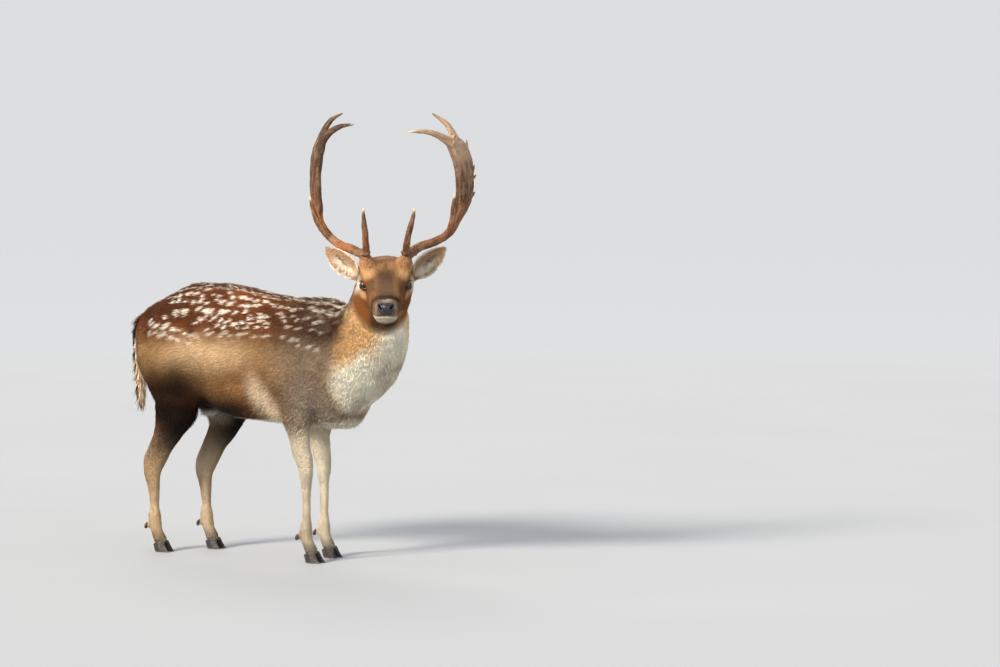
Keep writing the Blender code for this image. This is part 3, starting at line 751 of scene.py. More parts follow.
@dataclass
class Markings:
    """Works out the coat's colour at any place on the skin."""

    anatomy: Anatomy
    face: Face
    palette: type[Palette] = Palette
    girth: float = 0.2
    axis_height: float = 0.7
    scatter: float = 0.01

    def down_from_back(self, body: Array) -> Array:
        """Degrees round the body from the line of the back."""
        return np.degrees(np.arctan2(np.abs(body[:, 1]), body[:, 2] - self.axis_height))

    def spots(self, body: Array) -> Array:
        """How pale each point is made by the spots, from 0 to 1.

        Args:
            body: rows of the body's frame.

        Returns:
            One share for each row.
        """
        ragged = noise(body, 0.008, 3) * 0.38 + noise(body, 0.003, 4) * 0.22
        down = self.down_from_back(body)
        total = np.zeros(len(body))
        for side in Side:
            here = np.flatnonzero((body[:, 1] * side.value >= 0) & (body[:, 2] > 0.62))
            x, arc = body[here, 0], np.radians(down[here]) * self.girth
            luck = np.random.default_rng(20 + side.value)
            for row in ROWS:
                places = np.linspace(0, 1, row.count)[:, None]
                centres = np.array(row.start) + places * (np.array(row.end) - row.start)
                centres[:, 1] = np.radians(centres[:, 1]) * self.girth
                centres += luck.normal(0, self.scatter, centres.shape) * (0.8, 0.6)
                sizes = luck.uniform(0.55, 1.25, (row.count, 2)) * (row.length, row.height)
                for centre, size in zip(centres, sizes):
                    dx, dz = x - centre[0], arc - centre[1]
                    along, across = 0.94 * dx - 0.34 * dz, 0.34 * dx + 0.94 * dz
                    reach = np.hypot(along / size[0], across / size[1]) + ragged[here]
                    pale = row.strength * (1 - ramp(reach, 0.55, 1.3))
                    total[here] = np.maximum(total[here], pale)
        return total

    def of_saddle(self, body: Array, front: Array, wide: Array, fine: Array) -> Array:
        """The rust of the back, darker on the rump, and darker and greyer on the shoulder as painted
        shade.

        Args:
            body: rows of the body's frame.
            front: 1 on the shoulder, 0 behind it.
            wide: broad noise.
            fine: fine noise.

        Returns:
            Rows of colour.
        """
        p, x, z = self.palette, body[:, 0], body[:, 2]
        return layered(
            spread(p.rust, len(body)),
            (p.rust_dark, 0.4 + 0.5 * wide),
            # Painted shade on the shoulder: darker rust, the back's dark line and grey mottles, mixed
            # in by front.
            (p.rust_dark, 0.85 * front),
            (p.rust_dark * 0.85, 0.85 * ramp(-x, 0.1, 0.22) * ramp(z, 0.77, 0.83)),
            (p.dorsal, 0.6 * front),
            (p.grey_tan, 0.22 * front * ramp(fine, -0.2, 0.7)),
        )

    def of_trunk(self, body: Array) -> Array:
        """The colour of the trunk and the tops of the legs.

        Args:
            body: rows of the body's frame.

        Returns:
            Rows of colour.
        """
        p = self.palette
        x, y, z = body.T
        off = np.abs(y)
        wide, fine = noise(body, 0.05, 5), noise(body, 0.012, 6)
        # front marks the shoulder, which is painted as in shade: its rust edge lies lower, it is
        # greyer and its spots are dimmer.
        front = ramp(x + 0.025 * wide, 0.13, 0.34)
        edge = 0.752 - 0.012 * ramp(-x, 0.1, 0.22) - 0.02 * front
        saddle = ramp(z + wide * 0.018 + fine * 0.012, edge - 0.048, edge + 0.04)
        haunch = ramp(-z, -0.675, -0.56) * ramp(-x, 0.05, 0.19)
        rear_edge = ramp(-x - 0.25 * (0.6 - z), 0.335, 0.42)
        slanted = body - 0.25 * (z[:, None] - 0.53) * (-1, 0, 0)
        elbow = blob(slanted, (0.166, 0, 0.52), (0.034, 9, 0.078), 0.95)
        hem = ramp(-z + 0.006 * wide, -0.585, -0.512) * ramp(-x, -0.165, -0.04)
        low_hem = ramp(-z, -0.545, -0.5) * ramp(off, 0.03, 0.08)
        under = ramp(-z, -0.5, -0.478) * (1 - ramp(off, 0.035, 0.085))
        stripe = (1 - ramp(self.down_from_back(body), 7, 15)) * ramp(z, 0.74, 0.8)
        withers = ramp(x, 0.33, 0.42) * ramp(z, 0.8, 0.84) * ramp(fine, 0, 0.5)
        grey = stripe * ramp(noise(body * (0.45, 1, 1), 0.006, 8), 0.15, 0.6)
        rear = blob(body, (-0.44, 0, 0.66), (0.085, 0.075, 0.12), 0.35)
        ring = blob(body, (-0.44, 0, 0.67), (0.1, 0.1, 0.15), 0.25) - rear
        return layered(
            spread(p.flank, len(body)),
            (p.tan, 0.34 + 0.45 * wide),
            # The lower flank browner: partly its own brown, partly painted shade towards the belly.
            (p.rust, 0.42 * ramp(-z + 0.02 * wide, -0.64, -0.54)),
            # Grey-tan on the shoulder as painted shade, fuller on the lower chest as its own colour.
            (p.grey_tan, front * (0.72 + 0.28 * ramp(-z, -0.66, -0.52))),
            (p.sand, 0.75 * blob(body, (-0.06, 0, 0.698), (0.16, 9, 0.054), 0.9)),
            (p.tan, 0.6 * blob(body, (-0.34, 0, 0.69), (0.11, 9, 0.06), 0.8)),
            (self.of_saddle(body, front, wide, fine), saddle),
            (p.thigh, haunch * (1 - 0.65 * rear_edge)),
            (p.rust, 0.6 * haunch * rear_edge),
            (p.black, 0.9 * blob(body, (-0.165, 0, 0.5), (0.1, 9, 0.12), 0.85)),
            (p.sand, 0.8 * elbow * (0.9 + 0.25 * fine)),
            (p.cream, 0.4 * elbow),
            # The dark band along the belly's edge: partly the coat's own, partly painted shade under
            # the belly.
            (p.thigh, 0.85 * hem * ramp(off, 0.02, 0.07)),
            (p.black, 0.8 * hem * low_hem),
            (p.cream, 0.75 * under),
            # Spots dimmer on the shoulder, as painted shade.
            (p.spot, self.spots(body) * (1 - 0.32 * front)),
            (p.dorsal, 0.8 * stripe),
            (p.spot, 0.6 * np.maximum(grey, 0.75 * withers)),
            (p.black, 0.8 * ring),
            (p.white, rear),
        )

    def of_legs(self, body: Array) -> Array:
        """The colour of the legs below the body.

        Args:
            body: rows of the body's frame.

        Returns:
            Rows of colour.
        """
        p = self.palette
        x, y, z = body.T
        hind = ramp(-x, 0.0, 0.05)
        inner = 1 - ramp(np.abs(y), 0.055, 0.085)
        ahead = x + 0.8 * (0.45 - z) - np.where(y > 0, 0.1, 0.0)
        brown = hind * ramp(z + 0.35 * (ahead + 0.22), 0.28, 0.42) * ramp(ahead, -0.37, -0.25)
        dark = hind * ramp(z, 0.31, 0.42) * ramp(ahead, -0.275, -0.185)
        return layered(
            spread(p.leg, len(body)),
            (p.grey_tan, 0.22 + 0.4 * noise(body, 0.03, 9)),
            (p.tan, 0.45 * hind),
            (p.flank, 0.35 * hind * ramp(z, 0.16, 0.26)),
            (p.thigh, 0.92 * brown * (1 - 0.2 * inner)),
            (p.black, 0.92 * dark * (1 - 0.15 * inner)),
            (p.rust, 0.68 * brown * (1 - dark) * ramp(-ahead, 0.24, 0.33)),
            (p.cream, 0.35 * inner * (1 - brown)),
            (p.cream, 0.25 * (1 - hind) * ramp(z, 0.1, 0.25)),
            (p.band, 0.55 * (1 - ramp(z, 0.05, 0.085))),
        )

    def bib_line(self, body: Array) -> Array:
        """How far each point of the neck lies below the bib's upper edge."""
        return 0.662 + 0.48 * (body[:, 0] - 0.45) - body[:, 2]

    def of_neck(self, body: Array) -> Array:
        """The colour of the neck, from the dark nape to the pale bib.

        Args:
            body: rows of the body's frame.

        Returns:
            Rows of colour.
        """
        p = self.palette
        x, y, z = body.T
        wide, fine = noise(body, 0.04, 10), noise(body, 0.01, 11)
        nape = ramp(z - 0.55 * (x - 0.42) + 0.012 * wide, 0.795, 0.85)
        grey = nape * ramp(noise(body * (0.6, 1, 1), 0.008, 12), 0.0, 0.5) * (1 - ramp(x, 0.46, 0.54))
        below = self.bib_line(body) + 0.014 * wide + 0.008 * fine
        bib = ramp(below, -0.03, 0.03) * ramp(x + 0.3 * (z - 0.6), 0.405, 0.44)
        under = ramp(-z, -0.66, -0.56) * (1 - bib)
        bib = bib * ramp(z + 0.012 * wide + 0.008 * fine, 0.485, 0.535)
        # The bib greyer on its far side, away from the light: painted shade.
        far_side = ramp(x + 0.8 * y + 0.35 * (z - 0.65) + 0.02 * wide, 0.47, 0.56)
        bib_in_shade = bib * far_side * ramp(-z, -0.76, -0.7)
        low = ramp(-z, -0.6, -0.53) * ramp(fine + 0.6 * wide, -0.4, 0.4)
        return layered(
            spread(p.neck, len(body)),
            (p.tan, 0.22 + 0.35 * wide),
            (p.nape, 0.85 * nape),
            (p.spot, 0.65 * grey),
            (p.grey_tan, 0.92 * under),
            (p.cream, bib),
            (p.grey_tan, 0.62 * bib_in_shade * (0.7 + 0.5 * fine)),
            # The pale throat, whiter on its right side as painted sunlight.
            (p.white, blob(body, (0.655, -0.055, 0.745), (0.06, 0.07, 0.075), 0.6)),
            (p.grey_tan, 0.55 * low),
        )

    def of_head(self, head: Array) -> Array:
        """The colour of the face, muzzle and crown.

        Args:
            head: rows of the head's frame.

        Returns:
            Rows of colour.
        """
        p, face = self.palette, self.face.folded(head)
        x, y, z = face.T
        wide, fine = noise(head, 0.022, 13), noise(head, 0.006, 14)
        middle = (1 - ramp(y + 0.004 * wide, 0.014, 0.042)) * ramp(x, -0.008, 0.025)
        patch = blob(head, (0.026, 0.004, 0.048), (0.036, 0.03, 0.024), 0.8)
        back = ramp(-x, 0.06, 0.11) * ramp(z + wide * 0.02, -0.01, 0.05)
        whorl = blob(head, (-0.012, 0.0, 0.06), (0.012, 0.007, 0.015), 0.8)
        cheekbone = blob(face, (0.085, 0.046, -0.05), (0.06, 0.024, 0.018), 0.8)
        jaw_shade = ramp(-z, 0.056, 0.072) * (1 - ramp(y, 0.04, 0.062)) * ramp(x, 0.02, 0.05)
        throat = ramp(-z, 0.07, 0.092) * (1 - ramp(y, 0.02, 0.05)) * (1 - ramp(x, 0.0, 0.04))
        base = layered(
            spread(p.face, len(head)),
            (p.cheek, ramp(y + 0.01 * wide, 0.03, 0.06)),
            (p.forehead, 0.72 * middle),
            (p.band, 0.42 * patch * (0.7 + 0.6 * fine)),
            (p.forehead, 0.6 * blob(face, (0.058, 0.044, 0.022), (0.03, 0.012, 0.022), 0.8)),
            # The crown: its own tan, painted lighter as the sunlit top of the head.
            (p.crown, 0.85 * ramp(-x, -0.014, 0.016) * ramp(z, 0.025, 0.048)),
            (p.nape, 0.8 * back),
            (p.band, 0.75 * whorl * (0.6 + 0.8 * np.abs(fine))),
            (p.brow, 0.85 * blob(face, (0.002, 0.058, 0.038), (0.024, 0.024, 0.014), 0.7)),
            (p.white, 0.75 * blob(face, (-0.022, 0.086, -0.012), (0.015, 0.02, 0.027), 0.9)),
            (p.brow, 0.65 * blob(face, (0.016, 0.074, -0.027), (0.026, 0.02, 0.011), 0.7)),
            (p.thigh, 0.8 * cheekbone * (0.85 + 0.3 * wide)),
            # Painted shade under the jaw, where the head shades the throat.
            (p.thigh, 0.9 * jaw_shade),
            (p.cream, 0.35 * throat),
        )
        return self.round_eyes(self.on_muzzle(base, face, wide, fine), face)

    def on_muzzle(self, base: Array, face: Array, wide: Array, fine: Array) -> Array:
        """Adds the dark nose band, pale muzzle, lips and nose leather, with painted shade under the
        chin, in the mouth's crease and in the nostrils.

        Args:
            base: the head's colours.
            face: folded rows of the head.
            wide: broad noise.
            fine: fine noise.

        Returns:
            The new colours.
        """
        p = self.palette
        x, y, z = face.T
        low = ramp(-z, -0.02, 0.02)
        place = x + 0.0025 * fine + 0.004 * low
        width = np.where(place < 0.139, 0.0175 + 0.026 * low, 0.006 + 0.001 * low)
        arch = np.clip(1.35 * hump(place - 0.139, width) * ramp(z, -0.062, -0.046), 0, 1)
        end = ramp(place, 0.144, 0.152)
        above = self.face.mouth_offset(face)
        return layered(
            base,
            (p.muzzle, end),
            (p.band, 0.92 * arch * (0.88 + 0.2 * wide)),
            (p.white, 0.9 * end * hump(z - 0.0265, 0.0038)),
            (p.white, 0.16 * end * ramp(x, 0.15, 0.16) * hump(y - 0.031, 0.004)),
            (p.white, 0.42 * ramp(x, 0.132, 0.15) * ramp(-above, -0.006, -0.001)),
            # Painted shade under the chin.
            (p.thigh, 0.85 * ramp(-z, 0.038, 0.054) * ramp(x, 0.06, 0.1)),
            # The mouth's dark line: the lips' own dark edge, with painted shade in the crease.
            (p.band, 0.85 * hump(above, 0.0017) * self.face.mouthness(face)),
            (p.leather, self.face.pad(face)),
            # The nostrils near black: painted shade in their hollows.
            (p.lid * 0.4, 1 - ramp(self.face.nostril_reach(face), 0.7, 1.1)),
        )

    def round_eyes(self, base: Array, face: Array) -> Array:
        """Darkens the lids' edges and the tear pit.

        Args:
            base: the head's colours.
            face: folded rows of the head.

        Returns:
            The new colours.
        """
        p = self.palette
        reach, _, _, above = self.face.eye_reach(face)
        near = self.face.near_eye(face)
        return layered(
            base,
            (p.band, 0.8 * blob(face, (0.023, 0.066, -0.004), (0.013, 0.012, 0.0065), 0.7)),
            (p.band, 0.7 * blob(face, (0.036, 0.064, -0.014), (0.014, 0.016, 0.0035), 0.7)),
            (p.band, 0.25 * near * (1 - ramp(reach, 1.25, 1.6)) * (above > 0)),
            (p.lid, near * (1 - ramp(reach, 1.08, 1.19))),
        )

    def at(self, points: Array) -> Array:
        """The coat's colour at points of the scene.

        Args:
            points: rows of x, y, z.

        Returns:
            Rows of colour.
        """
        body = self.anatomy.to_body(points)
        x, _, z = body.T
        edge = 0.012 * noise(body, 0.03, 15) + 0.006 * noise(body, 0.009, 16)
        neck = ramp(x - 0.27 * (z - 0.69) + edge, 0.4, 0.485) * ramp(z, 0.49, 0.53)
        return layered(
            self.of_trunk(body),
            (self.of_legs(body), ramp(-z, -0.485, -0.425)),
            (self.of_neck(body), neck),
            (self.of_head(self.anatomy.to_head(points)), self.anatomy.headness(points)),
        )


# The skin, and how its hair grows.


@dataclass
class Growth:
    """How the coat grows at each point of the skin."""

    lie: Array
    length: Array
    width: Array
    stand: Array
    density: Array
    region: Array

    def joined(self, other: Growth) -> Growth:
        """This growth with another's points after its own."""
        pairs = ((getattr(self, row.name), getattr(other, row.name)) for row in fields(self))
        return Growth(*(np.concatenate(pair) for pair in pairs))


class Region(Enum):
    """The parts of the coat that are made as separate pieces."""

    FLANK_RIGHT = 0
    FLANK_LEFT = 1
    RUMP_RIGHT = 2
    RUMP_LEFT = 3
    NECK_RIGHT = 4
    NECK_LEFT = 5
    HEAD_RIGHT = 6
    HEAD_LEFT = 7
    FORELEGS = 8
    HINDLEGS = 9
    TAIL = 10
    EARS = 11


# The two ends of the stump that carries the left antler, in the head's frame.
PEDICLE_FOOT, PEDICLE_TOP = (-0.034, 0.056, 0.045), (-0.046, 0.071, 0.089)

# Muscles, bones and hollows of the trunk: their place along and up, half sizes, and height.
FORMS = (
    ((-0.118, 0.695), (0.06, 0.085), -0.0085),
    ((-0.128, 0.56), (0.034, 0.06), -0.0065),
    ((-0.225, 0.61), (0.09, 0.13), 0.005),
    ((-0.212, 0.815), (0.036, 0.028), 0.0045),
    ((-0.3, 0.795), (0.058, 0.036), -0.004),
    ((-0.395, 0.745), (0.032, 0.036), 0.0035),
    ((-0.352, 0.6), (0.016, 0.11), -0.0045),
    ((0.325, 0.78), (0.026, 0.072), 0.0042),
    ((0.388, 0.655), (0.042, 0.045), 0.0045),
    ((0.228, 0.735), (0.036, 0.085), -0.0055),
    ((0.425, 0.77), (0.028, 0.07), -0.0045),
    ((0.272, 0.6), (0.052, 0.052), 0.0045),
    ((0.168, 0.548), (0.034, 0.046), -0.0055),
    ((0.06, 0.64), (0.1, 0.11), 0.003),
)

# The hair of each place: its length, width, stand, and how many tufts to the square metre.
HAIR = {
    "flank": (0.019, 0.0022, 0.25, 98e3),
    "ridge": (0.026, 0.003, 0.3, 95e3),
    "belly": (0.026, 0.0028, 0.42, 90e3),
    "rump": (0.034, 0.003, 0.3, 95e3),
    "neck": (0.02, 0.0021, 0.23, 165e3),
    "bib": (0.025, 0.0021, 0.3, 165e3),
    "leg": (0.0092, 0.0015, 0.12, 132e3),
    "foot": (0.008, 0.0013, 0.15, 160e3),
    "head": (0.009, 0.0013, 0.22, 400e3),
    "poll": (0.012, 0.0014, 0.34, 400e3),
    "forelock": (0.0165, 0.0015, 0.62, 400e3),
    "pedicle": (0.006, 0.0012, 0.14, 420e3),
    "muzzle": (0.0052, 0.001, 0.2, 540e3),
    "eyelids": (0.0048, 0.00095, 0.2, 600e3),
}


@dataclass
class Skin:
    """The one skin under the coat."""

    anatomy: Anatomy
    face: Face
    markings: Markings
    cell: float = 0.0069
    smoothing: int = 16
    depth_body: float = 0.0085
    depth_neck: float = 0.011
    depth_head: float = 0.003
    depth_leg: float = 0.004
    depth_foot: float = 0.001
    step_hind: float = 0.092
    step_fore: float = 0.038
    pedicle_radii: tuple = (0.028, 0.0208)
    hoof_edge: float = 0.036

    def nodes(self) -> list[str]:
        """The flesh nodes that this skin runs over without a seam."""
        names = ["trunk", "neck", "head", "nose_pad"]
        for side in Side:
            for end in ("foreleg", "hindleg"):
                names += [f"{end}_{side.word}_{part}" for part in ("upper", "cannon", "pastern")]
        return names

    def depth(self, points: Array) -> Array:
        """How far the skin lies inside the flesh nodes, by the length of the coat there.

        Args:
            points: rows of x, y, z.

        Returns:
            One depth for each row.
        """
        x, _, z = self.anatomy.to_body(points).T
        leg = self.depth_foot + (self.depth_leg - self.depth_foot) * ramp(z, 0.12, 0.16)
        trunk = leg + (self.depth_body - leg) * ramp(z, 0.43, 0.53)
        neck = ramp(x, 0.38, 0.48) * ramp(z, 0.5, 0.56)
        trunk = trunk + (self.depth_neck - trunk) * neck
        return trunk + (self.depth_head - trunk) * self.anatomy.headness(points)

    def smooth_body(self, nodes: dict) -> Shell:
        """The flesh nodes under one skin, rounded and set in by the coat's depth.

        Args:
            nodes: the frame's nodes by name.

        Returns:
            The skin.
        """
        meshes = [nodes[name].data for name in self.nodes()]
        meshes += [nodes["eye_" + side.word].data for side in Side]
        meshes += [nodes[name].data for name in nodes if name.startswith("dewclaw")]
        meshes += [self.pedicle(side) for side in Side]
        shell = remeshed(meshes, self.cell)
        foot = ramp(shell.points[:, 2], 0.03, 0.06)
        shell.relax(foot, self.smoothing)
        depth = self.depth(shell.points) * foot
        depth = depth - self.relief(self.anatomy.to_body(shell.points))
        shell.points = shell.points - shell.normals() * depth[:, None]
        return shell

    def relief(self, body: Array) -> Array:
        """How far muscle and bone lift the skin, or the hollows between them lower it.

        Args:
            body: rows of the body's frame.

        Returns:
            One height for each row.
        """
        x, y, z = body.T
        flat = body * (1, 0, 1)
        move = np.zeros(len(body))
        for (at_x, at_z), (wide, tall), height in FORMS:
            move += height * blob(flat, (at_x, 0, at_z), (wide, 9, tall), 0.95)
        move *= ramp(np.abs(y), 0.03, 0.08)
        hind = x - np.where(y > 0, self.step_hind, 0.0)
        fore = x + np.where(y > 0, self.step_fore, 0.0)
        tendon = hump(hind + 0.3 + 0.385 * (0.42 - z), 0.0095)
        move -= 0.0048 * tendon * ramp(z, 0.285, 0.33) * ramp(-z, -0.45, -0.4)
        shin = hump(hind + 0.3435, 0.006) * ramp(-x, -0.05, 0.05)
        move -= 0.0024 * shin * ramp(z, 0.125, 0.15) * ramp(-z, -0.25, -0.225)
        shin = hump(fore - 0.289, 0.006) * ramp(x, 0.1, 0.2)
        move -= 0.0024 * shin * ramp(z, 0.125, 0.15) * ramp(-z, -0.26, -0.235)
        leg_fore, leg_hind = (np.column_stack([leg, y * 0, z]) for leg in (fore, hind))
        move += 0.0026 * blob(leg_fore, (0.302, 0, 0.286), (0.03, 9, 0.024), 0.8)
        move -= 0.0022 * blob(leg_fore, (0.27, 0, 0.35), (0.012, 9, 0.06), 0.8)
        return move + 0.0026 * blob(leg_hind, (-0.352, 0, 0.262), (0.024, 9, 0.022), 0.8)

    def pedicle(self, side: Side) -> Mesh:
        """The short stump of skin that carries an antler."""
        low, high = (np.array(end) * (1, side.value, 1) for end in (PEDICLE_FOOT, PEDICLE_TOP))
        return cone(self.anatomy.head, low, high, *self.pedicle_radii)

    def on_head(self, points: Array) -> Array:
        """Which points lie on the head, ahead of the poll."""
        head = self.anatomy.to_head(points)
        return (self.anatomy.headness(points) > 0.3) & (head[:, 0] > -0.045)

    def by_eye_or_lips(self, points: Array, round_eye: float, lips: float, corner: float) -> Array:
        """Which points lie near an eye or the mouth's line.

        Args:
            points: rows of x, y, z.
            round_eye: how far from the eye's centre.
            lips: how far above and below the mouth's line.
            corner: how far along the head the lips begin.

        Returns:
            One answer for each row.
        """
        head = self.face.folded(self.anatomy.to_head(points))
        near = np.linalg.norm(head - np.array(self.face.eye), axis=1) < round_eye
        mouth = (np.abs(self.face.mouth_offset(head)) < lips) & (head[:, 0] > corner)
        return near | (mouth & (self.anatomy.headness(points) > 0.5))

    def on_features(self, points: Array) -> Array:
        """Which points lie round the eyes, on the nose or on the lips.

        Args:
            points: rows of x, y, z.

        Returns:
            True or false for each row.
        """
        head = self.anatomy.to_head(points)
        nose = (head[:, 0] > 0.15) & (head[:, 2] > -0.05)
        return nose | self.by_eye_or_lips(points, 0.036, 0.014, 0.078)

    def on_finest(self, points: Array) -> Array:
        """Which points lie on the lids, the nostrils or the mouth's line.

        Args:
            points: rows of x, y, z.

        Returns:
            True or false for each row.
        """
        head = self.face.folded(self.anatomy.to_head(points))
        nostril = np.linalg.norm(head - np.array(self.face.nostril), axis=1) < 0.015
        return nostril | self.by_eye_or_lips(points, 0.026, 0.006, 0.085)

    def head_detail(self, shell: Shell) -> Shell:
        """Makes the head's faces finer, and finest at the eyes, nose and mouth."""
        for wanted in (self.on_head, self.on_features, self.on_finest):
            shell = refined(shell, wanted)
        return shell

    def sculpt(self, shell: Shell) -> None:
        """Cuts the features of the face into the skin.

        Args:
            shell: the skin, with fine faces on its head.
        """
        here = np.flatnonzero(self.anatomy.headness(shell.points) > 0.5)
        normals = shell.normals()[here] @ np.array(self.anatomy.head)[:3, :3]
        head = self.face.sculpted(self.anatomy.to_head(shell.points[here]), normals)
        shell.points[here] = self.anatomy.from_head(head)
        near = np.zeros(len(shell.points))
        near[here] = 0.55
        shell.relax(near, 1)

    def lie(self, points: Array, normals: Array) -> Array:
        """The way that the hair runs at each point of the body and head.

        Args:
            points: rows of x, y, z.
            normals: the outward normals there.

        Returns:
            One direction for each row, along the skin.
        """
        x, _, z = self.anatomy.to_body(points).T
        head = self.anatomy.to_head(points)
        neck = ramp(x, 0.36, 0.46) * ramp(z, 0.48, 0.52)
        away = np.stack([-np.ones(len(head)), 1.6 * head[:, 1], 1.2 * head[:, 2]], axis=1)
        forehead = ramp(-np.abs(head[:, 1]), -0.045, -0.01) * ramp(head[:, 2], 0.02, 0.05)
        away[:, 2] += 0.25 * forehead
        flow = layered(
            (-1.0, 0.0, -0.2) + np.outer(ramp(-z, -0.8, -0.5), (0.15, 0.0, -0.35)),
            ((-0.5, 0.0, -0.9), ramp(-x, 0.16, 0.34) * ramp(-z, -0.86, -0.7)),
            ((-0.65, 0.0, -0.75), ramp(x, 0.14, 0.28) * ramp(-z, -0.88, -0.66)),
            ((-0.16, 0.0, -1.0), ramp(-z, -0.5, -0.42)),
            ((-0.55, 0.18, -0.85), neck),
            ((-0.22, 0.1, -1.0), ramp(x - 0.5 * (z - 0.6), 0.46, 0.56) * neck),
            (self.anatomy.turned(away), self.anatomy.headness(points)),
        )
        return laid_flat(flow, normals)

    def growth(self, shell: Shell) -> Growth:
        """The coat's lie, size and density over the body and head.

        Args:
            shell: the finished skin.

        Returns:
            How the hair grows at each of its points.
        """
        body, head = self.anatomy.to_body(shell.points), self.anatomy.to_head(shell.points)
        x, _, z = body.T
        face = self.face.folded(head)
        share = self.anatomy.headness(shell.points)
        down = self.markings.down_from_back(body)
        neck = ramp(x, 0.37, 0.46) * ramp(z, 0.5, 0.54)
        tuft = blob(face, (-0.018, 0.0, 0.062), (0.034, 0.062, 0.04), 0.4)
        stump = np.linalg.norm(face - np.array(PEDICLE_TOP), axis=1)
        places = {
            "ridge": (1 - ramp(down, 4, 12)) * ramp(z, 0.74, 0.8),
            "belly": ramp(-z, -0.52, -0.48) * ramp(x, -0.3, -0.2),
            "rump": blob(body, (-0.43, 0, 0.66), (0.07, 0.08, 0.16), 0.5),
            "neck": neck,
            "bib": neck * ramp(self.markings.bib_line(body), -0.03, 0.03),
            "leg": ramp(-z, -0.48, -0.4),
            "foot": ramp(-z, -0.12, -0.07),
            "head": share,
            "poll": share * ramp(-head[:, 0], 0.0, 0.03) * ramp(head[:, 2], 0.02, 0.04),
            "forelock": share * tuft,
            "pedicle": share * (1 - ramp(stump, 0.021, 0.036)),
            "muzzle": share * ramp(head[:, 0], 0.105, 0.15),
            "eyelids": share * self.face.near_eye(face),
        }
        sizes = ((HAIR[name], where) for name, where in places.items())
        rows = layered(spread(HAIR["flank"], len(share)), *sizes)
        length, width, stand, density = rows.T
        density = density * np.clip(1 - 2 * share * self.bare(face), 0, 1) * (z >= self.hoof_edge)
        region = self.regions(body, head, share)
        return Growth(self.lie(shell.points, shell.normals()), length, width, stand, density, region)

    def bare(self, face: Array) -> Array:
        """Where no hair grows on the head: the lids' edges, the nose pad and the mouth's line.

        Args:
            face: folded rows of the head.

        Returns:
            1 where the skin is bare, 0 under hair.
        """
        reach, _, _, _ = self.face.eye_reach(face)
        lids = self.face.near_eye(face) * (reach < 1.18)
        line = (np.abs(self.face.mouth_offset(face)) < 0.0022) * self.face.mouthness(face)
        return np.maximum.reduce([lids, self.face.pad(face), line])

    def regions(self, body: Array, head: Array, share: Array) -> Array:
        """Which piece of the coat each point belongs to.

        Args:
            body: rows of the body's frame.
            head: the same points in the head's frame.
            share: how far each is on the head.

        Returns:
            The number of each point's region.
        """
        x, y, z = body.T
        region = np.where(x > 0.02, Region.FLANK_RIGHT.value, Region.RUMP_RIGHT.value)
        region[(z < 0.46) & (x > -0.1)] = Region.FORELEGS.value
        region[(z < 0.46) & (x <= -0.1)] = Region.HINDLEGS.value
        region[(x - 0.27 * (z - 0.69) > 0.4) & (z > 0.47)] = Region.NECK_RIGHT.value
        region[share > 0.5] = Region.HEAD_RIGHT.value
        other = np.where(share > 0.5, head[:, 1] > 0, y > 0.0)
        other = np.where(region == Region.NECK_RIGHT.value, y > -0.03, other)
        return region + ((region < Region.FORELEGS.value) & other)


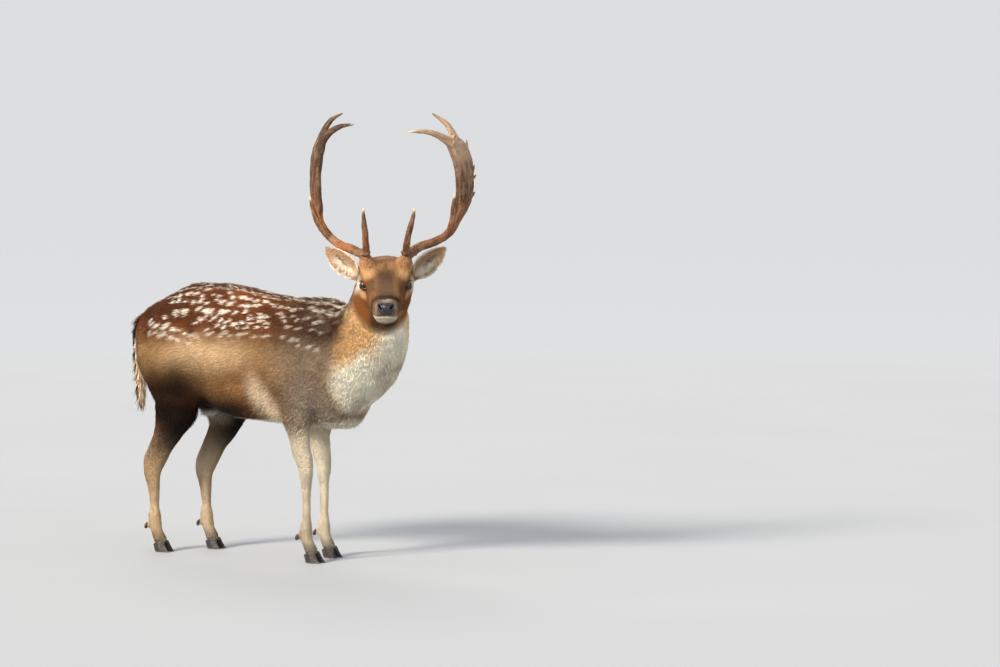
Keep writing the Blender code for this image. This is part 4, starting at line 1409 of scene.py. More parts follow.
@dataclass
class Ear:
    """One ear: a cupped leaf with rolled edges that closes to a tube at its root.

    Its points lie in rings. Each has a place t from root to tip, a place s from -1 to 1
    across, and is in the hollow or on the back.
    """

    side: Side
    anatomy: Anatomy
    palette: type[Palette]
    length: float = 0.162
    half_width: float = 0.0405
    tube: float = 0.015
    cup: float = 0.02
    thickness: float = 0.003
    root: tuple = (-0.051, 0.077, 0.0)
    outward: tuple = (-0.553, 0.728, 0.402)
    front: tuple = (0.88, 0.25, 0.35)
    rows: int = 68
    columns: int = 32

    def __post_init__(self) -> None:
        """Lays out the rings."""
        t = np.linspace(-0.13, 1.0, self.rows)
        t = np.where(t > 0, 1 - (1 - t) ** 1.25, t)
        turn = np.arange(2 * self.columns) / (2 * self.columns)
        s = np.where(turn < 0.5, 4 * turn - 1, 3 - 4 * turn)
        self.t, self.s = np.repeat(t, len(s)), np.tile(s, self.rows)
        self.hollow = np.tile(turn < 0.5, self.rows)

    def axes(self) -> tuple[Array, Array, Array, Array]:
        """The ear's root and its outward, across and front directions, in the head's frame."""
        flip = np.array((1, self.side.value, 1))
        out = unit(np.array(self.outward) * flip)
        front = np.array(self.front) * flip
        front = unit(front - front.dot(out) * out)
        return np.array(self.root) * flip, out, np.cross(front, out), front

    def notches(self) -> Array:
        """How much of the width is left at each point where the lower edge is nicked."""
        lower = ramp(-self.s * self.side.value, 0.35, 0.95)
        places = ((0.34, 0.03, 0.5), (0.5, 0.022, 0.42))
        if self.side is Side.LEFT:
            places = ((0.6, 0.02, 0.36),)
        return 1 - sum(depth * hump(self.t - at, wide) for at, wide, depth in places) * lower

    def leaf(self) -> Array:
        """The ear's points, as rows of the head's frame."""
        t, s = self.t, self.s
        width = self.half_width * (0.38 + 2.1 * t - 2.48 * np.clip(t, 0, 1) ** 2.2)
        width = np.maximum(width, 0.0) + 0.0004
        bend = 0.92 + 1.55 * (1 - ramp(t, 0.02, 0.34))
        radius = width / np.sin(np.minimum(bend, 1.45))
        radius = self.tube + (radius - self.tube) * ramp(t, 0.02, 0.32)
        angle, reach = bend * s, radius * self.notches()
        lift = reach * (1 - np.cos(angle)) - 0.5 * self.cup * (1 - 0.75 * t)
        lift += 0.0016 * np.sin(9 * t + 2 * s) * ramp(t, 0.3, 0.6)
        half = 0.5 * self.thickness * np.sqrt(np.clip(1 - s**10, 0, 1)) * (1 - 0.5 * ramp(t, 0.9, 1))
        ridge = 0.0011 * hump(np.abs(s) - 0.45, 0.1) * ramp(t, 0.05, 0.2) * (1 - ramp(t, 0.6, 0.9))
        move = np.where(self.hollow, half + ridge, -half)
        across, lift = (reach - move) * np.sin(angle), lift + np.cos(angle) * move
        root, out, wide, front = self.axes()
        return root + np.outer(t * self.length, out) + np.outer(across, wide) + np.outer(lift, front)

    def faces(self) -> list[Array]:
        """The quads between the rings, and a cap at each end."""
        ring = np.arange(2 * self.columns)
        start = np.arange(self.rows - 1)[:, None] * len(ring)
        one, two = start + ring, start + np.roll(ring, -1)
        quads = np.stack([one + len(ring), two + len(ring), two, one], axis=-1).reshape(-1, 4)
        return [quads, np.stack([ring, (ring + start[-1] + len(ring))[::-1]])]

    def shell(self) -> tuple[Shell, Growth]:
        """The ear's surface with its colours, and how its hair grows."""
        shell = Shell(self.anatomy.from_head(self.leaf()), self.faces())
        shell.colours = self.colours(shell.points)
        t, s, (_, out, wide, _) = self.t, self.s, self.axes()
        fan = np.outer(0.55 * s * ramp(t, 0.0, 0.5), wide)
        inward = np.outer(self.hollow * -0.9 * s * (1 - ramp(t, 0.45, 0.85)), wide)
        edge = ramp(np.abs(s), 0.8, 0.97)
        inside = self.hollow * (1 - edge)
        return shell, Growth(
            lie=laid_flat(self.anatomy.turned(out + fan + inward), shell.normals()),
            length=0.0085 + 0.0085 * inside * (1 - ramp(t, 0.5, 0.9)) - 0.0015 * edge,
            width=0.0014 + 0.0001 * inside,
            stand=0.2 + 0.1 * inside + 0.05 * edge,
            density=HAIR["head"][3] * ramp(t, -0.06, 0.0) * (1 - 0.35 * inside),
            region=np.full(len(t), Region.EARS.value),
        )

    def colours(self, points: Array) -> Array:
        """The ear's colours: brown behind, pale pink-grey inside with dark streaks, cream rim.

        Args:
            points: rows of x, y, z.

        Returns:
            Rows of colour.
        """
        p, t = self.palette, self.t
        rough = noise(points, 0.01, 31)
        up, rim = self.s * self.side.value, np.abs(self.s)
        pale = blob(np.column_stack([t, up, t * 0]), (0.36, -0.3, 0), (0.3, 0.42, 1), 0.7)
        streak = hump(up - 0.02 - 0.15 * rough - 0.3 * (t - 0.5), 0.17)
        streak = streak * ramp(t, 0.26, 0.4) * (1 - ramp(t, 0.62, 0.8))
        inner = layered(
            spread(p.ear_inside, len(t)),
            (p.tan, 0.35 + 0.35 * rough),
            (p.white, 0.72 * pale * (0.9 + 0.4 * rough)),
            (p.ear_streak, 0.85 * streak * (0.8 + 0.4 * rough)),
            (p.ear, 0.65 * hump(up - 0.62, 0.2) * ramp(t, 0.2, 0.5)),
            (p.ear, 0.45 * ramp(t, 0.62, 0.95)),
            (p.lid, 0.75 * (1 - ramp(t, 0.0, 0.12))),
        )
        grit = ramp(noise(points, 0.004, 32), 0, 0.6)
        return layered(
            spread(p.ear, len(t)),
            (p.crown, 0.4 * (1 - ramp(t, 0.0, 0.4))),
            (p.crown, 0.45 * ramp(rough, -0.2, 0.5) * (1 - ramp(t, 0.5, 0.9))),
            (p.band, 0.3 * ramp(t, 0.7, 1.0) + 0.22 * grit),
            (inner, self.hollow * (1 - ramp(rim, 0.9, 0.99))),
            (p.white, 0.8 * ramp(rim, 0.86, 0.96) * ramp(t, 0.08, 0.2)),
        )


@dataclass
class Tail:
    """The tail: a thin core that hangs from the rump, for long hair to fall from."""

    palette: type[Palette]
    thin: float = 0.4
    thick: float = 0.62
    shorter: float = 0.022
    tuck: float = 0.016
    cell: float = 0.0045
    slices: int = 24
    smoothing: int = 8

    def shell(self, node: Object) -> tuple[Shell, Growth]:
        """The core's surface and the growth of the tail's hair.

        Args:
            node: the tail's node.

        Returns:
            The surface and its growth.
        """
        shell = remeshed([node.data], self.cell)
        shell.relax(1, self.smoothing)
        points = shell.points
        low, high = points[:, 2].min(), points[:, 2].max()
        share = (points[:, 2] - low) / (high - low)
        level = np.clip((share * self.slices).astype(int), 0, self.slices - 1)
        centre = np.zeros_like(points)
        for k in np.unique(level):
            centre[level == k] = points[level == k].mean(axis=0)
        keep = self.thin + (self.thick - self.thin) * ramp(share, 0.55, 0.95)
        points[:, :2] = centre[:, :2] + (points[:, :2] - centre[:, :2]) * keep[:, None]
        points[:, 2] += self.shorter * (1 - share) - self.tuck * 1.3 * ramp(share, 0.6, 1.0)
        points[:, 0] += self.tuck * ramp(share, 0.35, 0.9)
        normals, p, full = shell.normals(), self.palette, np.ones(len(share))
        shell.colours = layered(
            spread(p.cream, len(share)),
            (p.tan, 0.6 + 0.25 * noise(points, 0.02, 61)),
            (p.band, ramp(-normals[:, 0], -0.35, 0.25)),
            (p.rust_dark, 0.8 * ramp(share, 0.8, 0.95)),
        )
        return shell, Growth(
            lie=laid_flat(spread((-0.1, 0.0, -1.0), len(share)), normals),
            length=0.056 - 0.022 * share,
            width=0.003 * full,
            stand=0.2 * full,
            density=200e3 * full,
            region=np.full(len(share), Region.TAIL.value),
        )


# The coat: small closed tufts that lie along the skin.

ROOT_SHADE, TIP_SHADE = 0.62, 1.12  # How bright a tuft is at its root and at its tip.
ROOT_DEPTH = 0.001  # How far a tuft starts below the skin.


@dataclass
class Roots:
    """Where tufts stand: each root's triangle, and its shares of the triangle's corners."""

    tri: Array
    shares: Array

    def read(self, rows: Array) -> Array:
        """The values at the roots of what the skin's points hold."""
        return np.einsum("ij,ij->i" if rows.ndim == 1 else "ijk,ij->ik", rows[self.tri], self.shares)


@dataclass
class Tufts:
    """What shapes and colours many tufts, one row for each."""

    root: Array
    along: Array
    side: Array
    up: Array
    length: Array
    half: Array
    rise: Array
    base: Array
    uv: Array

    def picked(self, chosen: Array) -> Tufts:
        """Only the chosen tufts."""
        return Tufts(*(getattr(self, row.name)[chosen] for row in fields(self)))

    def short(self) -> Array:
        """The points of short tufts: keeled blades with their widest place a third along."""
        way = self.along * np.cos(self.rise) + self.up * np.sin(self.rise)
        body = self.root + way * self.length * 0.36
        out, keel, lean = self.side * self.half, self.up * self.half * 0.75, self.rise * 0.75
        tip = self.root + self.along * self.length * np.cos(lean)
        tip = tip + self.up * self.length * np.sin(lean)
        start = self.root - self.up * ROOT_DEPTH
        return np.stack([start, body + out, body + keel, body - out, tip], axis=1)

    def long(self) -> Array:
        """The points of long tufts: locks that leave the skin and bend back to lie along it."""
        out, keel = self.side * self.half, self.up * self.half * 0.8
        spine = []
        for far, lean in ((0.26, 1.3), (0.64, 0.95), (1.0, 0.6)):
            way = self.along + self.up * np.tan(self.rise * lean)
            spine.append(self.root + way * self.length * far)
        first, second, tip = spine
        rows = [self.root - self.up * ROOT_DEPTH, first + out, first + keel, first - out]
        rows += [second + out * 0.8, second + keel * 0.8, second - out * 0.8, tip]
        return np.stack(rows, axis=1)


@dataclass(frozen=True)
class Form:
    """One form of tuft: its triangles, and its points' shades and places in the bake map."""

    faces: tuple
    shades: tuple
    places: tuple

    def joined(self, rows: Array, tufts: Tufts, patch: float) -> tuple[Shell, Array]:
        """Joins tufts of this form.

        Args:
            rows: the points of each tuft, one block for each.
            tufts: their colours, and their roots' places in the bake map.
            patch: how much of the bake map one tuft takes.

        Returns:
            The tufts as arrays, and the bake map's place of each point.
        """
        count, points = rows.shape[:2]
        triangles = np.array(self.faces) + (np.arange(count) * points)[:, None, None]
        colours = tufts.base[:, None, :] * np.array(self.shades)[:, None]
        flat = tufts.uv[:, None, :] + np.array(self.places) * patch
        shell = Shell(rows.reshape(-1, 3), [triangles.reshape(-1, 3)], colours.reshape(-1, 3))
        return shell, np.clip(flat, 0, 1).reshape(-1, 2)


SHORT = Form(
    faces=((0, 2, 1), (0, 3, 2), (0, 1, 3), (4, 1, 2), (4, 2, 3), (4, 3, 1)),
    shades=(ROOT_SHADE, 0.95, 1.0, 0.95, TIP_SHADE),
    places=((0, 0), (0.36, 0.5), (0.4, 0), (0.36, -0.5), (1, 0)),
)
LONG = Form(
    faces=(
        *((0, 2, 1), (0, 3, 2), (0, 1, 3), (1, 2, 5), (1, 5, 4), (2, 3, 6)),
        *((2, 6, 5), (3, 1, 4), (3, 4, 6), (7, 4, 5), (7, 5, 6), (7, 6, 4)),
    ),
    shades=(ROOT_SHADE, 0.9, 0.95, 0.9, 1.0, 1.05, 1.0, TIP_SHADE),
    places=((0, 0), (0.3, 0.5), (0.3, 0), (0.3, -0.5), (0.6, 0.5), (0.6, 0), (0.6, -0.5), (1, 0)),
)


@dataclass
class Coat:
    """Grows tufts over the whole skin and makes them into a few joined pieces."""

    markings: Markings
    shell: Shell
    growth: Growth
    patch: float = 0.003
    most_in_piece: int = 32500
    sparsest: float = 2e4
    wander: float = 0.17
    long_from: float = 0.03

    def roots(self, region: Region) -> Roots:
        """Scatters roots over one region by the density of its hair.

        Args:
            region: which part.

        Returns:
            The roots.
        """
        tri = self.shell.triangles()
        tri = tri[np.sum(self.growth.region[tri] == region.value, axis=1) >= 2]
        a, b, c = (self.shell.points[tri[:, k]] for k in range(3))
        area = 0.5 * np.linalg.norm(np.cross(b - a, c - a), axis=1)
        full = np.cumsum(area * self.growth.density[tri].mean(axis=1))
        count = int(min(full[-1], self.most_in_piece))
        luck = np.random.default_rng(500 + region.value)
        picks = (np.arange(count) + luck.random(count)) / count * full[-1]
        which = np.minimum(np.searchsorted(full, picks), len(tri) - 1)
        u, v = luck.random(count), luck.random(count)
        over = u + v > 1
        u, v = np.where(over, 1 - u, u), np.where(over, 1 - v, v)
        roots = Roots(tri[which], np.stack([1 - u - v, u, v], axis=1))
        alive = roots.read(self.growth.density) > self.sparsest
        return Roots(roots.tri[alive], roots.shares[alive])

    def unwrapped(self, roots: Roots) -> Array:
        """Unwraps the skin under some tufts.

        Args:
            roots: where they stand.

        Returns:
            The place of each root in the unwrap.
        """
        unique, which = np.unique(roots.tri, axis=0, return_inverse=True)
        used, local = np.unique(unique, return_inverse=True)
        local = local.reshape(-1, 3)
        part = Shell(self.shell.points[used], [local]).mesh("unwrap")
        holder = linked("unwrap", part)
        part.uv_layers.new(name="unwrap")
        bpy.context.view_layer.objects.active = holder
        holder.select_set(True)
        bpy.ops.object.mode_set(mode="EDIT")
        bpy.ops.mesh.select_all(action="SELECT")
        bpy.ops.uv.smart_project(angle_limit=math.radians(66), island_margin=0.004)
        bpy.ops.object.mode_set(mode="OBJECT")
        flat = fetched(part.uv_layers[0].data, "uv", 2).reshape(-1, 3, 2)
        corner = fetched(part.loops, "vertex_index").reshape(-1, 3)
        bpy.data.objects.remove(holder, do_unlink=True)
        bpy.data.meshes.remove(part)
        places = {tuple(row): k for k, row in enumerate(np.sort(corner, axis=1).tolist())}
        rows = np.array([places[tuple(row)] for row in np.sort(local, axis=1).tolist()])
        ordered = np.empty((len(unique), 3, 2))
        for k in range(3):
            ordered[:, k] = flat[rows][corner[rows] == local[:, k : k + 1]]
        return np.einsum("ijk,ij->ik", ordered[which.ravel()], roots.shares)

    def grown(self, region: Region) -> tuple[Tufts, Array]:
        """Grows the tufts of one region.

        Args:
            region: which part.

        Returns:
            The tufts, and which of them are long.
        """
        roots, growth = self.roots(region), self.growth
        luck = np.random.default_rng(900 + region.value)
        root = roots.read(self.shell.points)
        count = len(root)
        up = unit(roots.read(self.shell.normals()))
        along = unit(roots.read(growth.lie))
        sway = 0.11 * noise(root, 0.026, 41) + 0.07 * noise(root, 0.008, 42)
        sway = sway + luck.normal(0, self.wander, count)
        along = unit(along + np.cross(up, along) * sway[:, None])
        length = roots.read(growth.length) * luck.uniform(0.72, 1.28, count)
        half = roots.read(growth.width) * luck.uniform(0.4, 0.6, count)
        rise = roots.read(growth.stand) * luck.uniform(0.25, 1.45, count)
        rise = rise * (1 + 0.35 * noise(root, 0.015, 43))
        own = region in (Region.EARS, Region.TAIL)
        base = roots.read(self.shell.colours) if own else self.markings.at(root)
        calm = region in (Region.FORELEGS, Region.HINDLEGS, Region.EARS)
        swing = 0.11 if calm else 0.2
        base = base * luck.uniform(1 - swing, 1 + swing, (count, 1))
        base = base * (1 + luck.normal(0, 0.025, (count, 3)))
        columns = (row[:, None] for row in (length, half, rise))
        side = np.cross(up, along)
        tufts = Tufts(root, along, side, up, *columns, base, self.unwrapped(roots))
        return tufts, roots.read(growth.length) > self.long_from

    def mesh(self, region: Region) -> Mesh:
        """All the tufts of one region as one mesh.

        Args:
            region: which part.

        Returns:
            The mesh, with a colour for each point and a bake map.
        """
        tufts, long_ones = self.grown(region)
        made = []
        for form, shaped, chosen in ((SHORT, Tufts.short, ~long_ones), (LONG, Tufts.long, long_ones)):
            if chosen.any():
                part = tufts.picked(chosen)
                made.append(form.joined(shaped(part), part, self.patch))
        mesh = merged([shell for shell, _ in made]).mesh("coat_" + region.name.lower())
        flat = np.concatenate([places for _, places in made])
        layer = mesh.uv_layers.new(name=BAKE_MAP)
        corner = fetched(mesh.loops, "vertex_index")
        layer.data.foreach_set("uv", flat[corner].astype(np.float32).ravel())
        return mesh


# The hard pieces: eyes, antlers and hooves.


@dataclass
class Eye:
    """One eye: a glossy ball with a dark pupil that lies level, behind a clear bulge."""

    side: Side
    anatomy: Anatomy
    face: Face
    segments: int = 64
    rings: int = 48
    bulge: float = 0.0009
    inset: float = 0.0012

    def mesh(self) -> Mesh:
        """The ball, with its colours in its points."""
        shape = bmesh.new()
        bmesh.ops.create_uvsphere(shape, u_segments=self.segments, v_segments=self.rings, radius=1)
        ball = settled(shape, "ball")
        shell = Shell.read(ball)
        bpy.data.meshes.remove(ball)
        local = shell.points
        out, along, up = self.face.eye_axes()
        axes = np.stack([along, up, out])
        radius = self.face.eye_radius - self.inset + self.bulge * ramp(local[:, 2], 0.7, 0.96)
        head = np.array(self.face.eye) + local @ axes * radius[:, None]
        shell.points = self.anatomy.from_head(head * (1, self.side.value, 1))
        if np.linalg.det(axes) * self.side.value < 0:
            shell.faces = [group[:, ::-1] for group in shell.faces]
        shell.colours = self.colours(local)
        return shell.mesh("eye_ball_" + self.side.word)

    def colours(self, local: Array) -> Array:
        """The eye's colours: brown with a dark rim, a long pupil and a dim white.

        Args:
            local: the ball's points, along its long axis, up and out.

        Returns:
            Rows of colour.
        """
        across, tall, out = local.T
        reach, pupil = np.hypot(across, tall), np.hypot(across / 0.4, tall / 0.21)
        return layered(
            spread(colour(30, 16, 10), len(local)),
            (colour(62, 32, 15), ramp(reach, 0.3, 0.55)),
            (colour(16, 10, 8), ramp(reach, 0.6, 0.7)),
            (colour(110, 92, 80), 0.35 * ramp(np.abs(across), 0.84, 0.94)),
            (colour(5, 5, 8), 1 - ramp(pupil, 0.85, 1.1)),
            (colour(20, 12, 10), out < 0.1),
        )


# The palm of each antler: where its inner edge is furthest out and at what height, how much
# of its width is added, and how far it is drawn back in.
PALM_EDGE = {Side.LEFT: (0.235, 0.145, 1.0, 0.003), Side.RIGHT: (0.223, 0.165, 0.72, 0.01)}

# The colours of each antler's beam and palm, which differ by side as painted light: the right beam is
# painted sunlit and its palm shaded, and the left palm lit.
LIT_AND_SHADED_BEAM_AND_PALM = {
    Side.LEFT: (colour(122, 74, 44), colour(184, 150, 122)),
    Side.RIGHT: (colour(146, 88, 44), colour(70, 48, 32)),
}


@dataclass
class Antler:
    """One antler: a grooved beam with its tines and hand-shaped palm, on a pearled burr.

    Its smooth surface is kept as points, outward normals and edges, and as rows of the head's
    frame that start at the crown and lie as on the left side.
    """

    side: Side
    anatomy: Anatomy
    cell: float = 0.0022
    smoothing: int = 26
    parts: tuple = ("beam", "palm", "brow_tine", "trez_tine", "front_tine", "top_tine")
    groove: float = 0.0015
    crown: tuple = (-0.035, 0.0, 0.082)
    foot: tuple = (-0.006, 0.067, 0.004)
    palm_reach: float = 0.068
    extra_point: tuple = ((-0.243, 0.25, 0.156), (-0.268, 0.301, 0.176))
    extra_radii: tuple = (0.0095, 0.0022)
    grain_rounds: int = 45
    grain_step: float = 0.0042
    points: Array = field(init=False)
    normals: Array = field(init=False)
    web: Web = field(init=False)
    folded: Array = field(init=False)

    def nodes(self) -> list[str]:
        """The nodes that this antler stands for."""
        return [f"antler_{self.side.word}_{part}" for part in self.parts]

    def smooth(self, nodes: dict) -> Shell:
        """Joins the antler's nodes and keeps their smooth surface.

        Args:
            nodes: the frame's nodes by name.

        Returns:
            The surface.
        """
        meshes = [nodes[name].data for name in self.nodes()]
        if self.side is Side.LEFT:
            root, tip = (np.array(end) + self.crown for end in self.extra_point)
            meshes.append(cone(self.anatomy.head, root, tip, *self.extra_radii))
        shell = remeshed(meshes, self.cell)
        shell.points = self.broadened(shell.points)
        shell.relax(1, self.smoothing)
        self.points, self.normals, self.web = shell.points, shell.normals(), shell.web()
        self.folded = self.anatomy.to_head(self.points) - np.array(self.crown)
        self.folded = self.folded * (1, self.side.value, 1)
        return shell

    def mesh(self, nodes: dict) -> Mesh:
        """The antler in one smooth, grooved piece, coloured from burr to tips.

        Args:
            nodes: the frame's nodes by name.

        Returns:
            The mesh.
        """
        shell = self.smooth(nodes)
        up, (grain, drift), tip = self.folded[:, 2], self.grain(), self.tipness()
        near = np.linalg.norm(self.folded - np.array(self.foot), axis=1)
        low = 1 - ramp(near, 0.04, 0.085)
        grooves = self.groove * grain * (1 - 0.35 * ramp(up, 0.2, 0.4)) * (1 - tip)
        pearls = np.maximum(noise(self.points, 0.0052, 51), 0) * 0.0022 * low
        hidden = (1 - ramp(up, -0.012, 0.002)) * (1 - ramp(near, 0.045, 0.06))
        move = pearls + self.burr() - grooves - 0.0045 * hidden
        shell.points = self.points + self.normals * move[:, None]
        shell.colours = self.colours(grain, drift, tip, low)
        return shell.mesh("antler_" + self.side.word)

    def burr(self) -> Array:
        """How far the knobbly ring at the antler's foot stands out at each point."""
        foot, top = np.array(PEDICLE_FOOT), np.array(PEDICLE_TOP)
        axis, away = unit(top - foot), self.folded + np.array(self.crown) - top
        along = away @ axis
        across = np.linalg.norm(away - np.outer(along, axis), axis=1)
        knobs = 0.004 + 0.003 * np.maximum(noise(self.points, 0.0062, 52), -0.4)
        return hump(along - 0.0065, 0.0046) * (1 - ramp(across, 0.03, 0.042)) * knobs

    def broadened(self, points: Array) -> Array:
        """The antler with its palm spread outwards from its inner edge.

        Args:
            points: rows of x, y, z.

        Returns:
            The new rows.
        """
        flip = np.array((1, self.side.value, 1))
        x, y, z = ((self.anatomy.to_head(points) - np.array(self.crown)) * flip).T
        inner, middle, wider, shift = PALM_EDGE[self.side]
        edge = inner - 1.25 * (z - middle) ** 2
        palm = ramp(z, 0.03, 0.1) * ramp(-z, -0.33, -0.27) * ramp(-x, 0.16, 0.19)
        out = np.clip(y - edge, 0, self.palm_reach)
        y = y + palm * (wider * out * (1 - out / self.palm_reach) - shift)
        return self.anatomy.from_head(np.column_stack([x, y, z]) * flip + np.array(self.crown))

    def grain(self) -> list[Array]:
        """Two noises drawn out along the antler: one for grooves and one for colour."""
        facing = np.einsum("ij,ik->ijk", self.normals, self.normals).reshape(-1, 9)
        for _ in range(self.grain_rounds):
            for axis in (0, 1, 2, 4, 5, 8):
                facing[:, axis] = 0.25 * facing[:, axis] + 0.75 * self.web.near(facing[:, axis])
        facing[:, [3, 6, 7]] = facing[:, [1, 2, 5]]
        _, ways = np.linalg.eigh(facing.reshape(-1, 3, 3))
        flow = laid_flat(ways[:, :, 0], self.normals) * self.grain_step
        made = []
        for seed, size in ((61, 0.0042), (62, 0.0075)):
            rows = sum((8 - abs(k)) * noise(self.points + flow * k, size, seed) for k in range(-7, 8))
            made.append(np.clip(rows / (np.std(rows) + 1e-9) * 0.5, -1, 1))
        return made

    def tipness(self) -> Array:
        """1 on the tips of the tines, 0 where the antler is thick."""
        one, two = self.web.edges.T
        far = np.linalg.norm(self.points[two] - self.points[one], axis=1)
        bend = np.linalg.norm(self.normals[two] - self.normals[one], axis=1) / np.maximum(far, 1e-6)
        rows = self.web.gathered(bend, bend)
        for _ in range(10):
            rows = self.web.near(rows)
        return ramp(rows, 110, 230)

    def colours(self, grain: Array, drift: Array, tip: Array, low: Array) -> Array:
        """Rusty brown at the beam, grey-brown on the palm, worn pale on tips and edges, with each
        side's beam and palm painted lighter or darker as light and shade.

        Args:
            grain: the noise of the grooves.
            drift: the noise of the colour.
            tip: 1 on the tips of the tines.
            low: 1 near the burr.

        Returns:
            Rows of colour.
        """
        height = self.folded[:, 2] + 0.02 * drift
        beam, palm = LIT_AND_SHADED_BEAM_AND_PALM[self.side]
        streak = 0.62 * (1 - 0.55 * ramp(height, 0.12, 0.24)) * ramp(grain, 0.0, 0.8)
        broad, grit = noise(self.points, 0.03, 64), noise(self.points, 0.0022, 65)
        ahead = ramp(self.folded[:, 0], -0.2, -0.17)
        trez = blob(self.folded, (-0.143, 0.214, 0.11), (0.035, 0.05, 0.065), 0.4)
        return layered(
            spread(beam, len(height)),
            (colour(84, 54, 34), ramp(height, 0.04, 0.16)),
            (palm, ramp(height, 0.14, 0.3)),
            (colour(168, 124, 84), 0.34 * ramp(drift, 0.0, 0.8)),
            (colour(44, 28, 20), streak),
            (colour(74, 48, 32), 0.55 * low),
            (colour(176, 148, 116), 0.22 * ramp(broad, 0.0, 0.9)),
            (colour(52, 34, 24), 0.45 * ramp(grit, 0.15, 0.75)),
            (colour(190, 156, 124), 0.28 * ramp(-grit, 0.25, 0.8)),
            (colour(72, 50, 38), 0.6 * tip * (1 - ahead)),
            (colour(196, 130, 66), 0.5 * trez * ramp(tip, 0.05, 0.4)),
            (colour(222, 202, 168), tip * (0.06 + 0.84 * ahead)),
        )


@dataclass
class Hooves:
    """The claws and dewclaws: grey-black horn with growth rings and soft edges."""

    cell: float = 0.0019
    smoothing: int = 16
    names: tuple = ("outer", "inner")
    toe_drop: float = 0.42
    ring: float = 0.0034
    ring_height: float = 0.00022

    def nodes(self) -> list[str]:
        """All the claws' nodes."""
        feet = [f"{end}_{side.word}" for end in ("fore", "hind") for side in Side]
        kinds = ("hoof", "dewclaw")
        return [f"{kind}_{foot}_{name}" for kind in kinds for foot in feet for name in self.names]

    def pointed(self, points: Array, inner: bool, left: bool) -> Array:
        """A claw narrowed and lowered towards its toe.

        Args:
            points: the claw's points.
            inner: whether it is the one nearer the other leg.
            left: whether it is on a left leg.

        Returns:
            The new points.
        """
        low, high = points.min(axis=0), points.max(axis=0)
        share = (points - low) / (high - low)
        toe = ramp(share[:, 0], 0.45, 1.05)
        cleft = 0.85 if inner != left else 0.15
        across = cleft + (share[:, 1] - cleft) * (1 - 0.55 * toe)
        tall = share[:, 2] * (1 - self.toe_drop * toe)
        heel = 1 - ramp(share[:, 0], 0.0, 0.3)
        across = 0.5 + (across - 0.5) * (1 - 0.22 * heel)
        return low + np.column_stack([share[:, 0], across, tall]) * (high - low)

    def mesh(self, node: Object) -> Mesh:
        """One claw with its edges softened, its sole flat, and rings down its wall.

        Args:
            node: the claw's node.

        Returns:
            The mesh.
        """
        shell = remeshed([node.data], self.cell)
        low, high = shell.points[:, 2].min(), shell.points[:, 2].max()
        share = (shell.points[:, 2] - low) / (high - low)
        sole = np.zeros(len(share))
        if node.name.startswith("hoof"):
            sole = 1 - ramp(share, 0.02, 0.1)
            shell.points = self.pointed(shell.points, "inner" in node.name, "left" in node.name)
        shell.relax(1 - sole, self.smoothing)
        normals = shell.normals()
        rings = np.sin(shell.points[:, 2] / self.ring * math.pi) * self.ring_height
        rings = rings + 0.0002 * noise(shell.points, 0.009, 71)
        wall = (1 - sole) * (1 - np.abs(normals[:, 2]))
        shell.points = shell.points + normals * (rings * wall)[:, None]
        shell.colours = layered(
            spread(colour(46, 40, 37), len(share)),
            (colour(92, 80, 68), 0.5 * ramp(noise(shell.points, 0.007, 72), 0.0, 0.8)),
            (colour(120, 104, 84), 0.45 * ramp(share, 0.75, 1.0)),
            (colour(100, 90, 78), 0.6 * (1 - ramp(share, 0.0, 0.16))),
        )
        return shell.mesh(node.name + "_horn")


# Finishes.


class Graph:
    """Short ways to add and join the nodes of a material or a node group."""

    def __init__(self, tree: NodeTree) -> None:
        """Keeps the tree that is worked on."""
        self.tree = tree

    def fill(self, node: Node, inputs: dict) -> None:
        """Gives a node its inputs.

        Args:
            node: the node.
            inputs: a value or a socket for each input, by name or number.
        """
        for key, value in inputs.items():
            if isinstance(value, NodeSocket):
                self.tree.links.new(value, node.inputs[key])
            else:
                node.inputs[key].default_value = value

    def add(self, kind: str, inputs: dict | None = None, **settings: object) -> Node:
        """Adds a node.

        Args:
            kind: its type, without the ShaderNode that it starts with.
            inputs: a value or a socket for each input, by name or number.
            settings: values for its own settings.

        Returns:
            The node.
        """
        node = self.tree.nodes.new(kind if kind.startswith("Node") else "ShaderNode" + kind)
        for key, value in settings.items():
            setattr(node, key, value)
        self.fill(node, inputs or {})
        return node

    def maths(self, operation: str, one: object, two: object) -> NodeSocket:
        """The result of a sum on two values."""
        return self.add("Math", {0: one, 1: two}, operation=operation).outputs[0]

    def place(self) -> NodeSocket:
        """The object's own places."""
        return self.add("TexCoord").outputs["Object"]


def started_group(name: str, inputs: dict, output: tuple) -> tuple[Graph, dict, Node]:
    """Starts a node group.

    Args:
        name: the group's name.
        inputs: the socket type and first value of each input, by name.
        output: its output's name and socket type.

    Returns:
        A graph on the group, its input sockets by name, and its output node.
    """
    tree = bpy.data.node_groups.new(name, "ShaderNodeTree")
    for key, (kind, value) in inputs.items():
        socket = tree.interface.new_socket(key, in_out="INPUT", socket_type=kind)
        socket.default_value = value
    tree.interface.new_socket(output[0], in_out="OUTPUT", socket_type=output[1])
    graph = Graph(tree)
    start, end = graph.add("NodeGroupInput"), graph.add("NodeGroupOutput")
    return graph, {key: start.outputs[key] for key in inputs}, end


def started_material(name: str) -> tuple[Material, Graph, Node]:
    """Starts a material.

    Args:
        name: the material's name.

    Returns:
        The material, its graph and the shader.
    """
    material = bpy.data.materials.new(name)
    material.use_nodes = True
    return material, Graph(material.node_tree), material.node_tree.nodes["Principled BSDF"]


